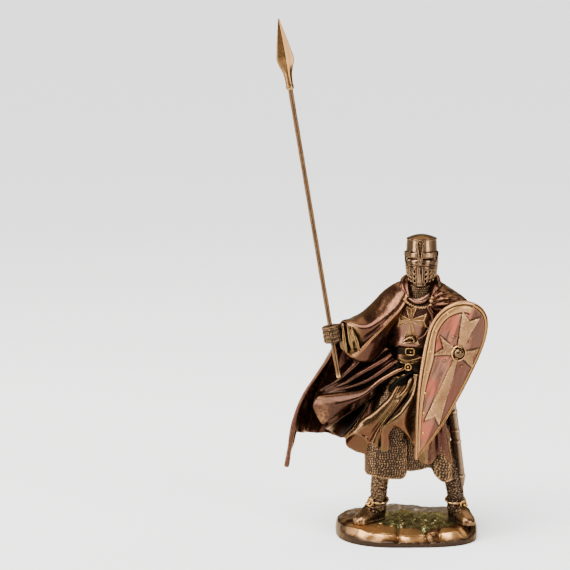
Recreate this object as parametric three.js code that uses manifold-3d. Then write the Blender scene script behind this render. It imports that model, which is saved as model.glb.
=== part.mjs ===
// A crusader knight statuette, cold-cast in bronze resin: the knight with his cloak, surcoat and mail, a kite
// shield, a sheathed sword, a spear made of a shaft and a head, and the rocky plinth that he stands on.
// Millimetres, +Z up, the knight looks along -Y. The origin is the middle of the plinth's underside.
import * as THREE from "three";
import { mergeVertices } from "three/addons/utils/BufferGeometryUtils.js";
import Module from "manifold-3d";

const wasm = await Module();
wasm.setup();

// Driving dimensions
const PLINTH_HALF_WIDTH = 44.2;
const PLINTH_HALF_DEPTH = 38;
const PLINTH_MIDDLE_Y = 2;
const GROUND_Z = 9.5; // height of the two soles
const LEDGE_DROP = 3.2; // from the ground down to the ledge along the plinth's front
const FIT_GAP = 0.3; // between a piece and the neighbour that it is glued to or slid into
const CLOTH = 1.7; // thickness of cast cloth
const SPEAR_RADIUS = 1.35;
const SPEAR_LENGTH = 225;
const SPEAR_HEAD_LENGTH = 44;
const SPEAR_HEAD_HALF_WIDTH = 5.6;
const SPEAR_HEAD_HALF_THICKNESS = 2.2;
const SPEAR_SOCKET_WALL = 0.85;
const SPEAR_SOCKET_DEPTH = 8;
const SPEAR_LEAN = 9.57; // degrees, to the knight's right
const SPEAR_FOOT_OUT = 43.6; // the knight's right is along -X
const SPEAR_FOOT_FORWARD = 12;
const SPEAR_FOOT_Z = 101.7;
const GRIP_HEIGHT = 28.4; // of the fist above the spear's foot
const SHIELD_LENGTH = 103;
const SHIELD_HALF_WIDTH = 21;
const SHIELD_WIDEST_DROP = 25; // below the shield's top
const SHIELD_BEND_RADIUS = 38;
const SHIELD_THICKNESS = 2.4;
const SHIELD_RIM_WIDTH = 5;
const SHIELD_RIM_HEIGHT = 1;
const SHIELD_TIP_X = 3.4;
const SHIELD_TIP_FORWARD = 29.5;
const SHIELD_TIP_Z = 54.2;
const SHIELD_LEAN_LEFT = 19.98; // degrees
const SHIELD_LEAN_BACK = 4.72;
const SHIELD_FACE_TURN = 25; // to the knight's left
const SHIELD_GRIP_DROP = 38; // of the left hand below the shield's top
const BOSS_DROP = 31.5;
const BOSS_RADIUS = 4.6;
const BOSS_HEIGHT = 3.6;
const CROSS_HEIGHT = 0.45;
const SCABBARD_WIDTH = 6;
const SCABBARD_THICKNESS = 3.6;
const HELM_RADIUS = 8.6;
const HELM_FACE_TURN = -8; // degrees, to the knight's right
const TORSO_TURN = -14;
const HIP_TURN = -8;

const TAU = 2 * Math.PI;
const degrees = (d) => (d * Math.PI) / 180;
const V = (x, y, z) => new THREE.Vector3(x, y, z);
const vectors = (points) => points.map((p) => V(...p));
const mix = (a, b, t) => a + (b - a) * t;
const smooth = (t) => t * t * (3 - 2 * t);
const clamp01 = (t) => Math.min(1, Math.max(0, t));
const curveThrough = (points, closed = false) => new THREE.CatmullRomCurve3(points, closed, "centripetal");

// A closed geometry from a list of corners and triangles
function geometryOf(corners, triangles) {
  const geometry = new THREE.BufferGeometry();
  const numbers = corners.flatMap((p) => [p.x, p.y, p.z]);
  geometry.setAttribute("position", new THREE.Float32BufferAttribute(numbers, 3));
  geometry.setIndex(triangles.flat());
  return geometry;
}

// A geometry becomes a solid that booleans can use, with its faces turned outwards
function solid(geometry) {
  const bare = geometry.clone();
  for (const name of Object.keys(bare.attributes)) {
    if (name !== "position") bare.deleteAttribute(name);
  }
  const welded = mergeVertices(bare, 1e-4);
  const vertProperties = new Float32Array(welded.attributes.position.array);
  const triVerts = new Uint32Array(welded.index.array);
  const at = (i) => V(vertProperties[3 * i], vertProperties[3 * i + 1], vertProperties[3 * i + 2]);
  let volume = 0;
  for (let i = 0; i < triVerts.length; i += 3) {
    volume += at(triVerts[i]).dot(at(triVerts[i + 1]).cross(at(triVerts[i + 2])));
  }
  if (volume < 0) {
    for (let i = 0; i < triVerts.length; i += 3) {
      [triVerts[i + 1], triVerts[i + 2]] = [triVerts[i + 2], triVerts[i + 1]];
    }
  }
  return new wasm.Manifold(new wasm.Mesh({ numProp: 3, vertProperties, triVerts }));
}

// A solid becomes a geometry again. Sealed pockets between layers of cloth are cast full.
function cast(made) {
  const outside = made.decompose().filter((body) => body.volume() > 0);
  const mesh = joined(outside).getMesh();
  const geometry = new THREE.BufferGeometry();
  geometry.setAttribute("position", new THREE.BufferAttribute(new Float32Array(mesh.vertProperties), 3));
  geometry.setIndex(new THREE.BufferAttribute(new Uint32Array(mesh.triVerts), 1));
  geometry.computeVertexNormals();
  return geometry;
}

const joined = (solids) => solids.reduce((a, b) => a.add(b));

// A three.js geometry placed by a matrix, as a solid
const placed = (geometry, matrix) => solid(geometry.clone().applyMatrix4(matrix));

// A matrix whose Z axis runs along one direction and whose X axis is nearest to another
function frameAt(origin, zAxis, xNear) {
  const z = zAxis.clone().normalize();
  const y = z.clone().cross(xNear).normalize();
  const x = y.clone().cross(z);
  return new THREE.Matrix4().makeBasis(x, y, z).setPosition(origin);
}

// Rings of equal count, skinned and closed at both ends by a fan to the middle of the end ring
function loft(rings) {
  const count = rings[0].length;
  const corners = rings.flat();
  const triangles = [];
  for (let r = 0; r + 1 < rings.length; r++) {
    for (let i = 0; i < count; i++) {
      const j = (i + 1) % count;
      const [a, b, c, d] = [r * count + i, r * count + j, (r + 1) * count + i, (r + 1) * count + j];
      triangles.push([a, b, c], [b, d, c]);
    }
  }
  for (const [r, turned] of [[0, true], [rings.length - 1, false]]) {
    const middle = rings[r].reduce((sum, p) => sum.add(p), V(0, 0, 0)).divideScalar(count);
    corners.push(middle);
    for (let i = 0; i < count; i++) {
      const [a, b] = [r * count + i, r * count + ((i + 1) % count)];
      triangles.push(turned ? [corners.length - 1, b, a] : [corners.length - 1, a, b]);
    }
  }
  return solid(geometryOf(corners, triangles));
}

// One level ring of a body: half widths a and b, squareness above 2, turned about Z
function ring({ z, x, y, a, b, turn = 0, square = 2, sides = 24, grow = () => 1, lift = () => 0 }) {
  const points = [];
  const [cosine, sine] = [Math.cos(degrees(turn)), Math.sin(degrees(turn))];
  for (let i = 0; i < sides; i++) {
    const angle = (i / sides) * TAU;
    const [c, s] = [Math.cos(angle), Math.sin(angle)];
    const px = a * grow(angle) * Math.sign(c) * Math.abs(c) ** (2 / square);
    const py = b * grow(angle) * Math.sign(s) * Math.abs(s) ** (2 / square);
    points.push(V(x + px * cosine - py * sine, y + px * sine + py * cosine, z + lift(angle)));
  }
  return points;
}

// A limb: round sections of given radii along a smooth path
function limb(path, radii, { steps, sides }) {
  const curve = curveThrough(path);
  const rings = [];
  for (let s = 0; s <= steps; s++) {
    const t = s / steps;
    const ahead = curve.getTangent(t);
    const side = V(0, 0, 1).cross(ahead);
    if (side.length() < 0.2) side.set(1, 0, 0).addScaledVector(ahead, -ahead.x);
    side.normalize();
    const up = ahead.clone().cross(side);
    const k = Math.min(radii.length - 2, Math.floor(t * (radii.length - 1)));
    const radius = mix(radii[k], radii[k + 1], smooth(t * (radii.length - 1) - k));
    const points = [];
    for (let i = 0; i < sides; i++) {
      const angle = (i / sides) * TAU;
      const [c, s2] = [radius * Math.cos(angle), radius * Math.sin(angle)];
      points.push(curve.getPoint(t).addScaledVector(side, c).addScaledVector(up, s2));
    }
    rings.push(points);
  }
  return loft(rings);
}

// A sheet of cloth with a thickness. Each guide is a line of the cloth from its top to its hem,
// on a ridge or in a valley of the folds, and the cloth runs smoothly from one guide to the next.
function sheet(guides, { across, down, closed = false }) {
  const lines = guides.map(curveOfGuide);
  const columns = closed ? across : across + 1;
  const grid = [];
  for (let j = 0; j <= down; j++) {
    const row = curveThrough(lines.map((line) => line.getPoint(j / down)), closed);
    for (let i = 0; i < columns; i++) grid.push(row.getPoint(i / across));
  }
  const column = (i) => (closed ? (i + columns) % columns : Math.min(columns - 1, Math.max(0, i)));
  const at = (i, j) => grid[Math.min(down, Math.max(0, j)) * columns + column(i)];
  const [front, back] = [[], []];
  for (let j = 0; j <= down; j++) {
    for (let i = 0; i < columns; i++) {
      const along = at(i + 1, j).clone().sub(at(i - 1, j));
      const fall = at(i, j + 1).clone().sub(at(i, j - 1));
      const out = along.cross(fall).normalize();
      front.push(at(i, j).clone().addScaledVector(out, CLOTH / 2));
      back.push(at(i, j).clone().addScaledVector(out, -CLOTH / 2));
    }
  }
  const id = (i, j) => j * columns + (closed ? i % columns : i);
  const under = (i, j) => front.length + id(i, j);
  const triangles = [];
  const quad = (a, b, c, d) => triangles.push([a, b, c], [b, d, c]);
  for (let j = 0; j < down; j++) {
    for (let i = 0; i < across; i++) {
      quad(id(i, j), id(i + 1, j), id(i, j + 1), id(i + 1, j + 1));
      quad(under(i + 1, j), under(i, j), under(i + 1, j + 1), under(i, j + 1));
    }
  }
  for (let i = 0; i < across; i++) {
    quad(id(i + 1, 0), id(i, 0), under(i + 1, 0), under(i, 0));
    quad(id(i, down), id(i + 1, down), under(i, down), under(i + 1, down));
  }
  for (let j = 0; j < down && !closed; j++) {
    quad(id(0, j), id(0, j + 1), under(0, j), under(0, j + 1));
    quad(id(across, j + 1), id(across, j), under(across, j + 1), under(across, j));
  }
  return solid(geometryOf([...front, ...back], triangles));
}

const curveOfGuide = (points) => curveThrough(vectors(points));

// Plinth outline: squarer than an ellipse and uneven like broken rock, as a factor on its half widths
const PLINTH_SQUARENESS = 2.5;
function plinthReach(angle) {
  const n = PLINTH_SQUARENESS;
  const corner = (Math.abs(Math.cos(angle)) ** n + Math.abs(Math.sin(angle)) ** n) ** (-1 / n);
  return corner * (1 - 0.012 * Math.sin(3 * angle + 0.6) - 0.012 * Math.sin(5 * angle + 2.1));
}

const rockLift = (x, y) =>
  0.9 * Math.sin(0.16 * x + 0.11 * y + 1.3) * Math.sin(0.13 * y - 0.07 * x) +
  0.45 * Math.sin(0.41 * x - 0.2 * y) * Math.sin(0.33 * y + 0.8) -
  (x + 4) * 0.012;

// Soles from heel to toe, and the boot above them: half widths and heights along its length
const SOLES = [
  { heel: [-18.2, 2.5], toe: [-31.5, -13.5] },
  { heel: [30, 2], toe: [37.8, -16.5] },
];
const BOOT_STATIONS = [
  { at: -0.14, half: 2.4, top: 6 },
  { at: -0.06, half: 4.2, top: 11 },
  { at: 0.12, half: 5, top: 13 },
  { at: 0.4, half: 4.8, top: 10 },
  { at: 0.72, half: 5.2, top: 7 },
  { at: 0.98, half: 4.2, top: 5 },
  { at: 1.1, half: 1.7, top: 3 },
];
const SOLE_THICKNESS = 1.6;

function soleFrame({ heel, toe }) {
  const forward = V(toe[0] - heel[0], toe[1] - heel[1], 0).normalize();
  const side = V(-forward.y, forward.x, 0);
  return new THREE.Matrix4().makeBasis(forward, side, V(0, 0, 1)).setPosition(...heel, GROUND_Z);
}

const soleLength = ({ heel, toe }) => Math.hypot(toe[0] - heel[0], toe[1] - heel[1]);

// The outline of a sole, grown all round, as an upright block
function soleBlock(sole, grow, from, to) {
  const edge = BOOT_STATIONS.map(({ at, half }, i) => {
    const end = i === 0 ? -grow : i === BOOT_STATIONS.length - 1 ? grow : 0;
    return [at * soleLength(sole) + end, half + grow];
  });
  const outline = [...edge, ...edge.map(([along, half]) => [along, -half]).reverse()];
  const shape = new THREE.Shape(outline.map(([along, half]) => new THREE.Vector2(along, half)));
  const block = new THREE.ExtrudeGeometry(shape, { depth: to - from, bevelEnabled: false });
  return placed(block.translate(0, 0, from), soleFrame(sole));
}

function distanceToSoles(x, y) {
  const gaps = SOLES.map(({ heel, toe }) => {
    const [dx, dy] = [toe[0] - heel[0], toe[1] - heel[1]];
    const t = clamp01(((x - heel[0]) * dx + (y - heel[1]) * dy) / (dx * dx + dy * dy));
    return Math.hypot(x - heel[0] - t * dx, y - heel[1] - t * dy);
  });
  return Math.min(...gaps);
}

// Height of the rock: a ledge along the front, and level ground round each sole
function plinthTop(x, y) {
  const front = clamp01((-y - 14) / 22);
  const height = GROUND_Z + rockLift(x, y) - LEDGE_DROP * smooth(front);
  const level = 1 - smooth(clamp01((distanceToSoles(x, y) - 6) / 4));
  return mix(height, GROUND_Z, level);
}

// Where the ledge is cracked, along X, and the size of a crack
const LEDGE_CRACKS = [-7.4, 18.9];
const CRACK_DEPTH = 1.6;

function plinth() {
  const sides = 30;
  const edgeRounding = 0.7;
  const levels = [
    { share: 0.975, height: 0 },
    { share: 1, height: 0.28 },
    { share: 0.992, height: 0.72 },
    { share: 0.955, height: 1, drop: edgeRounding },
    { share: 0.8, height: 1 },
    { share: 0.55, height: 1 },
    { share: 0.3, height: 1 },
  ];
  const rings = levels.map(({ share, height, drop = 0 }) => {
    const points = [];
    for (let i = 0; i < sides; i++) {
      const angle = (i / sides) * TAU;
      const reach = plinthReach(angle) * share;
      const x = PLINTH_HALF_WIDTH * reach * Math.cos(angle);
      const y = PLINTH_MIDDLE_Y + PLINTH_HALF_DEPTH * reach * Math.sin(angle);
      points.push(V(x, y, plinthTop(x, y) * height - drop));
    }
    return points;
  });
  const ledge = GROUND_Z - LEDGE_DROP;
  const front = PLINTH_MIDDLE_Y - PLINTH_HALF_DEPTH;
  const cracks = LEDGE_CRACKS.map((x) => {
    const wedge = new THREE.BoxGeometry(2 * CRACK_DEPTH, 8 * CRACK_DEPTH, 2 * CRACK_DEPTH).rotateY(TAU / 8);
    const place = V(x, front + 2 * CRACK_DEPTH, ledge + CRACK_DEPTH / 2);
    return placed(wedge, new THREE.Matrix4().setPosition(place));
  });
  const seats = SOLES.map((sole) => soleBlock(sole, FIT_GAP, -FIT_GAP, 2 * GROUND_Z));
  return [...cracks, ...seats].reduce((made, cut) => made.subtract(cut), loft(rings));
}

// Helm: a great helm with a low cone on top, a band at the eyes and a keel down the face
const HELM_AT = { x: 7.5, y: -1 };

function helm() {
  const keel = (push, halfAngle) => (angle) => {
    const fromFront = Math.abs(Math.atan2(Math.sin(angle + TAU / 4), Math.cos(angle + TAU / 4)));
    return 1 + push * Math.max(0, 1 - fromFront / halfAngle);
  };
  const level = (z, wide, deep, push = 0) =>
    ring({
      ...HELM_AT,
      z,
      a: HELM_RADIUS * wide,
      b: HELM_RADIUS * deep,
      turn: HELM_FACE_TURN,
      sides: 18,
      grow: keel(push, degrees(48)),
      lift: (angle) => (push ? 0.9 * Math.sin(angle) : 0),
    });
  const shell = loft([
    level(159.2, 0.82, 1.09, 0.2),
    level(160.4, 0.86, 1.14, 0.2),
    level(167, 1.08, 1.23, 0.14),
    level(173, 1.14, 1.23, 0.08),
    level(173.6, 1.18, 1.27),
    level(176.9, 1.16, 1.26),
    level(177.3, 1.06, 1.16),
    level(186.2, 1, 1.07),
    level(187.2, 0.95, 1.02),
    level(190.3, 0.08, 0.09),
  ]);
  const turn = new THREE.Matrix4().makeRotationZ(degrees(HELM_FACE_TURN));
  const onFace = (side, out, z) =>
    turn.clone().setPosition(V(side, -out, 0).applyMatrix4(turn).add(V(HELM_AT.x, HELM_AT.y, z)));
  const bar = placed(new THREE.BoxGeometry(2.6, 2.2, 14.5), onFace(0, 9.9, 179.3));
  const knob = placed(new THREE.CylinderGeometry(2.1, 2.1, 2.4, 10), onFace(0, 9.4, 184.2));
  const slit = new THREE.BoxGeometry(6, 3.4, 1.1);
  const slits = [-1, 1].map((side) => placed(slit, onFace(side * 4.9, 10.2, 172.4)));
  return slits.reduce((made, cut) => made.subtract(cut), joined([shell, bar, knob]));
}

// Mail coif between the helm and the surcoat
function coif() {
  const level = (z, a, b, x) => ring({ z, x, y: -0.5, a, b, sides: 14 });
  return loft([level(148, 9.5, 8.5, 5.5), level(154, 7.8, 8, 6.2), level(162, 7.4, 7.6, 7.5)]);
}

// Trunk of the body under its surcoat, from the hips to the base of the neck
function trunk() {
  const level = (z, x, y, a, b, turn = TORSO_TURN) => ring({ z, x, y, a, b, turn, square: 2.3, sides: 16 });
  return loft([
    level(92, 4, 1, 17.5, 13.5, -4),
    level(108, 3.2, 0.2, 14.6, 12, HIP_TURN),
    level(117, 2.8, 0, 13.2, 10.8),
    level(127, 3.2, 0, 15, 12),
    level(138, 3.8, 0, 17.2, 13.4),
    level(147, 4.4, 0.4, 18.6, 12.2),
    level(153, 5.2, 0.8, 15.5, 9.6),
    level(157, 6, 0.8, 9, 7.4),
  ]);
}

// The mail shirt hangs below the surcoat. It is split in front: a recess between two low flaps.
const MAIL_HEM_Z = 38;
const MAIL_SPLIT_AT = -78; // degrees round the body
const MAIL_SPLIT_HALF = 20;

function inSplit(angle) {
  const turned = angle - degrees(MAIL_SPLIT_AT);
  const fromSplit = Math.atan2(Math.sin(turned), Math.cos(turned)) / degrees(MAIL_SPLIT_HALF);
  return Math.exp(-(fromSplit ** 4));
}

function mailSkirt() {
  const level = (z, x, a, b, depth, hemShare = 0) =>
    ring({
      z,
      x,
      y: 0,
      a,
      b,
      sides: 24,
      square: 2.4,
      grow: (angle) => 1 - depth * inSplit(angle) + 0.05 * depth * Math.cos(6 * angle + 0.5),
      lift: (angle) => hemShare * (5.5 * inSplit(angle) + 2.4 * Math.max(0, Math.sin(angle))),
    });
  return loft([
    level(MAIL_HEM_Z + 9, 2.6, 20, 11, 0.3),
    level(MAIL_HEM_Z + 0.4, 2.4, 25.4, 15.6, 0.5, 1),
    level(MAIL_HEM_Z, 2.4, 27, 17.2, 0.46, 1),
    level(MAIL_HEM_Z + 14, 2.4, 25.4, 17.2, 0.4, 0.5),
    level(MAIL_HEM_Z + 34, 3, 21.6, 15.8, 0.14),
    level(112, 3.4, 14.2, 11.6, 0),
  ]);
}

// A leg in mail and its boot
function leg(hip, knee, shin, sole) {
  const ankle = [sole.heel[0], sole.heel[1] - 2, GROUND_Z + 16];
  const heel = [...ankle.slice(0, 2), GROUND_Z + 6];
  const calf = limb(vectors([hip, knee, shin, ankle, heel]), [8, 7.4, 6, 4.9, 4.7], { steps: 4, sides: 8 });
  const sides = 8;
  const boot = loft(
    BOOT_STATIONS.map(({ at, half, top }) => {
      const points = [];
      for (let i = 0; i < sides; i++) {
        const angle = (i / sides) * TAU - TAU / 4;
        const c = Math.cos(angle);
        const across = half * Math.sign(c) * Math.abs(c) ** 0.7;
        const rise = (top * (1 + Math.sin(angle))) / 2;
        points.push(V(at * soleLength(sole), across, rise).applyMatrix4(soleFrame(sole)));
      }
      return points;
    }),
  );
  return joined([calf, boot, soleBlock(sole, 0, 0, SOLE_THICKNESS)]);
}

// Spear: it runs through the right fist, from its foot below the hand to its tip high above
const SPEAR_FOOT = V(-SPEAR_FOOT_OUT, -SPEAR_FOOT_FORWARD, SPEAR_FOOT_Z);
const SPEAR_AIM = V(-Math.sin(degrees(SPEAR_LEAN)), 0, Math.cos(degrees(SPEAR_LEAN)));
const HEAD_START = SPEAR_LENGTH - SPEAR_HEAD_LENGTH;
const SHAFT_END = HEAD_START + SPEAR_SOCKET_DEPTH;

const spearFrame = (distance) =>
  frameAt(SPEAR_FOOT.clone().addScaledVector(SPEAR_AIM, distance), SPEAR_AIM, V(1, 0, 0));

function spearBar(radius, from, to) {
  const bar = new THREE.CylinderGeometry(radius, radius, to - from, 12).rotateX(TAU / 4);
  return placed(bar, spearFrame((from + to) / 2));
}

function spearHead() {
  const collar = SPEAR_RADIUS + FIT_GAP + SPEAR_SOCKET_WALL;
  const neck = 0.82 * collar;
  const stations = [
    { at: 0, wide: collar, thick: collar },
    { at: 2.4, wide: collar, thick: collar },
    { at: 2.6, wide: neck, thick: neck },
    { at: SPEAR_SOCKET_DEPTH + 1.4, wide: neck, thick: neck },
    { at: 14, wide: SPEAR_HEAD_HALF_WIDTH * 0.7, thick: SPEAR_HEAD_HALF_THICKNESS },
    { at: 18.5, wide: SPEAR_HEAD_HALF_WIDTH, thick: SPEAR_HEAD_HALF_THICKNESS },
    { at: 31, wide: SPEAR_HEAD_HALF_WIDTH * 0.56, thick: SPEAR_HEAD_HALF_THICKNESS * 0.75 },
    { at: SPEAR_HEAD_LENGTH, wide: 0.3, thick: 0.3 },
  ];
  const rings = stations.map(({ at, wide, thick }) => {
    const blade = smooth(clamp01((at - SPEAR_SOCKET_DEPTH) / 7));
    const points = [];
    for (let i = 0; i < 12; i++) {
      const angle = (i / 12) * TAU;
      const [c, s] = [Math.cos(angle), Math.sin(angle)];
      const diamond = mix(1, 1 / (Math.abs(c) + Math.abs(s)), blade);
      points.push(V(wide * c * diamond, thick * s * diamond, at).applyMatrix4(spearFrame(HEAD_START)));
    }
    return points;
  });
  return loft(rings).subtract(spearBar(SPEAR_RADIUS + FIT_GAP, HEAD_START - 1, SHAFT_END + FIT_GAP));
}

// Right arm, reaching out sideways with a mail mitten closed round the spear
function rightArm() {
  const path = vectors([[-6, 0, 149], [-17, 5, 143], [-26, 8, 133], [-35, -1, 129.5], [-43, -8, 129.5]]);
  const arm = limb(path, [7.5, 6.6, 5.6, 4.6, 4], { steps: 5, sides: 8 });
  const cuff = limb(vectors([[-38, -4.5, 129.8], [-44, -9, 129.8]]), [5.2, 5.6], { steps: 1, sides: 8 });
  const grip = spearFrame(GRIP_HEIGHT);
  const inGrip = (x, y, z) => grip.clone().multiply(new THREE.Matrix4().makeTranslation(x, y, z));
  const fingers = [0, 1, 2, 3].map((finger) => {
    const curl = new THREE.TorusGeometry(SPEAR_RADIUS + 2.5, 1.75, 4, 7);
    return placed(curl, inGrip(0.4, 0.4, 2.5 * (finger - 1.5)));
  });
  const palm = placed(new THREE.SphereGeometry(5.2, 8, 5), inGrip(2.4, 2, 0));
  return joined([arm, cuff, palm, ...fingers]);
}

// Shield frame: up along the shield, out of its face, and to its side
const SHIELD_TIP = V(SHIELD_TIP_X, -SHIELD_TIP_FORWARD, SHIELD_TIP_Z);
const SHIELD_UP = V(Math.tan(degrees(SHIELD_LEAN_LEFT)), Math.tan(degrees(SHIELD_LEAN_BACK)), 1).normalize();
const SHIELD_OUT = (() => {
  const level = V(Math.sin(degrees(SHIELD_FACE_TURN)), -Math.cos(degrees(SHIELD_FACE_TURN)), 0);
  return level.addScaledVector(SHIELD_UP, -level.dot(SHIELD_UP)).normalize();
})();
const SHIELD_SIDE = SHIELD_UP.clone().cross(SHIELD_OUT);

// A point of the shield: side is measured round its bend, drop down from its top, out from its face
function shieldPoint(side, drop, out) {
  const bend = side / SHIELD_BEND_RADIUS;
  const radius = SHIELD_BEND_RADIUS + out;
  return SHIELD_TIP.clone()
    .addScaledVector(SHIELD_UP, SHIELD_LENGTH - drop)
    .addScaledVector(SHIELD_SIDE, radius * Math.sin(bend))
    .addScaledVector(SHIELD_OUT, radius * Math.cos(bend) - SHIELD_BEND_RADIUS);
}

// A frame on the shield's face, with Z out of it
function shieldFrame(side, drop) {
  const place = shieldPoint(side, drop, 0);
  return frameAt(place, shieldPoint(side, drop, 1).sub(place), SHIELD_SIDE);
}

// Half width of the shield's outline, measured round its bend
function shieldHalfWidth(drop) {
  if (drop < SHIELD_WIDEST_DROP) {
    const rise = 1 - drop / SHIELD_WIDEST_DROP;
    return SHIELD_HALF_WIDTH * Math.sqrt(Math.max(0, 1 - rise ** 2.2));
  }
  const fall = (drop - SHIELD_WIDEST_DROP) / (SHIELD_LENGTH - SHIELD_WIDEST_DROP);
  return SHIELD_HALF_WIDTH * (1 - fall ** 1.55);
}

// The board of the shield: sections from the face to the back, each an outline inset and stood out
function shieldBoard(sections) {
  const sides = 28;
  const middleDrop = 0.37 * SHIELD_LENGTH;
  return loft(
    sections.map(({ inset, out }) => {
      const points = [];
      for (let i = 0; i < sides; i++) {
        const half = i < sides / 2 ? 1 : -1;
        const drop = (SHIELD_LENGTH * (1 - Math.cos((TAU * i) / sides))) / 2;
        const [side, fromMiddle] = [half * shieldHalfWidth(drop), drop - middleDrop];
        const reach = Math.hypot(side, fromMiddle);
        const shrink = Math.max(0, reach - inset) / reach;
        points.push(shieldPoint(side * shrink, middleDrop + fromMiddle * shrink, out));
      }
      return points;
    }),
  );
}

const SHIELD_FIELD_INSET = 14;

// The room that the shield takes up, with its fit gap, cut out of what is behind it
const shieldRoom = () =>
  shieldBoard([
    { inset: SHIELD_FIELD_INSET, out: SHIELD_RIM_HEIGHT },
    { inset: -FIT_GAP, out: SHIELD_RIM_HEIGHT },
    { inset: -FIT_GAP, out: -SHIELD_THICKNESS - FIT_GAP },
    { inset: SHIELD_FIELD_INSET, out: -SHIELD_THICKNESS - FIT_GAP },
  ]);

// Arms of the shield's cross: each a thin raised wedge with a notched end
function shieldCross() {
  const arms = [
    { toward: 90, length: 23, half: 7.2 },
    { toward: 0, length: 15.5, half: 6.6 },
    { toward: 180, length: 15.5, half: 6.6 },
    { toward: 270, length: 46, half: 7.4 },
  ];
  const notch = 4.5;
  const across = [-1, -0.5, 0, 0.5, 1];
  return arms.map(({ toward, length, half }) => {
    const [c, s] = [Math.cos(degrees(toward)), Math.sin(degrees(toward))];
    const rings = [0.1, 0.55, 1].map((share) => {
      const wide = mix(1.2, half, share);
      const outline = across.map((k) => {
        const along = length * share - (share === 1 ? notch * (1 - Math.abs(k)) : 0);
        return [along * c - k * wide * s, BOSS_DROP - (along * s + k * wide * c)];
      });
      const top = outline.map((p) => shieldPoint(...p, CROSS_HEIGHT));
      const under = outline.reverse().map((p) => shieldPoint(...p, -CROSS_HEIGHT));
      return [...top, ...under];
    });
    return loft(rings);
  });
}

function shield() {
  const board = shieldBoard([
    { inset: SHIELD_FIELD_INSET, out: 0 },
    { inset: SHIELD_RIM_WIDTH + 0.4, out: 0 },
    { inset: SHIELD_RIM_WIDTH - 0.4, out: SHIELD_RIM_HEIGHT },
    { inset: 0.9, out: SHIELD_RIM_HEIGHT },
    { inset: 0, out: 0.2 * SHIELD_RIM_HEIGHT },
    { inset: 0, out: -SHIELD_THICKNESS },
    { inset: SHIELD_FIELD_INSET, out: -SHIELD_THICKNESS },
  ]);
  const foot = { radius: BOSS_RADIUS + 1.4, height: 0.9 };
  const profile = [[0, -1], [foot.radius, -1], [foot.radius, foot.height]];
  for (const t of [0, 0.3, 0.65, 1]) {
    const angle = (t * TAU) / 4;
    profile.push([BOSS_RADIUS * Math.cos(angle), foot.height + BOSS_HEIGHT * Math.sin(angle)]);
  }
  const dome = new THREE.LatheGeometry(profile.map((p) => new THREE.Vector2(...p)), 10).rotateX(TAU / 4);
  const boss = placed(dome, shieldFrame(0, BOSS_DROP));
  const rivets = [[-7.5, -9], [7.5, -9], [-7.5, 9], [7.5, 9]].map(([side, drop]) =>
    placed(new THREE.SphereGeometry(1.3, 6, 4), shieldFrame(side, BOSS_DROP + drop)),
  );
  return joined([board, boss, ...shieldCross(), ...rivets]);
}

// Left arm, carried forward into the hollow side of the shield
const HAND_BEHIND_SHIELD = 2;

function leftArm() {
  const hand = shieldPoint(0, SHIELD_GRIP_DROP, -SHIELD_THICKNESS - HAND_BEHIND_SHIELD);
  const path = [...vectors([[14, 1, 148], [27, 2, 145], [33, 1, 134], [31, -8, 121]]), hand];
  return limb(path, [7.4, 6.8, 6, 5, 4.6], { steps: 5, sides: 8 });
}

// Cloak. It hangs from one line over both shoulders and behind the neck, from the right wrist to the left
// arm, and each fold falls from a point of that line, through a point between, to the hem.
const CLOAK_BACK = [
  [[-42, -4, 135], [-68, 5, 83], [-75.5, 0, 44.5]],
  [[-41, 0, 135], [-62.5, 18, 84], [-71.5, 9, 58]],
  [[-37, 3, 135.6], [-53, 29, 81], [-62, 23, 57]],
  [[-30, 8, 137.6], [-42, 26, 80], [-50, 30, 54]],
  [[-23, 8, 143], [-32, 33, 80], [-39, 35, 52]],
  [[-17, 7, 151], [-21.5, 26, 82], [-27, 28, 48]],
  [[-8, 7, 158], [-10.8, 31, 82], [-14, 35, 46]],
  [[1, 9, 161], [0.6, 24, 82], [-1, 27, 44]],
  [[10, 9, 162], [11.4, 29, 82], [12, 33, 43]],
  [[18, 6, 160], [19.6, 26, 82], [20, 30, 43]],
  [[26, 4, 156], [26.6, 21, 84], [25, 23, 46]],
  [[34, 2, 151], [31, 13, 104], [25.5, 15, 52]],
];

// Front of the cloak over the right arm, down to its edge
const CLOAK_OVER_ARM = [
  [[-2, -2, 160.5], [-3, -8, 157], [-2.6, -11.5, 153.5]],
  [[-11, 0, 157], [-9.5, -10.5, 151.5], [-6.2, -15.4, 146]],
  [[-17.5, 3, 150.5], [-16, -9.5, 146], [-12.8, -17.6, 140.4]],
  [[-23, 6, 142.5], [-21.5, -8, 138.6], [-18.8, -18.6, 134.4]],
  [[-29.5, 7, 137.6], [-25.5, -11, 133.4], [-24.4, -19, 127.6]],
  [[-37, 2, 135.6], [-31, -11.5, 132.6], [-30.4, -18, 121.8]],
  [[-37.5, -1, 135.8], [-33.6, -11, 130.6], [-35.7, -16, 116.9]],
];

// Behind that edge the cloth turns back inwards, more and more towards the wrist
const CLOAK_TURN = CLOAK_OVER_ARM.map((guide, k) => {
  const edge = V(...guide.at(-1));
  const depth = clamp01((k + 1) / 4);
  const turned = edge.clone().addScaledVector(V(0.2, 2, -5.6), depth);
  const inside = edge.clone().addScaledVector(V(4.4, 8.4, -9.6), depth);
  return [edge, turned, inside].map((p) => p.toArray());
});

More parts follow.
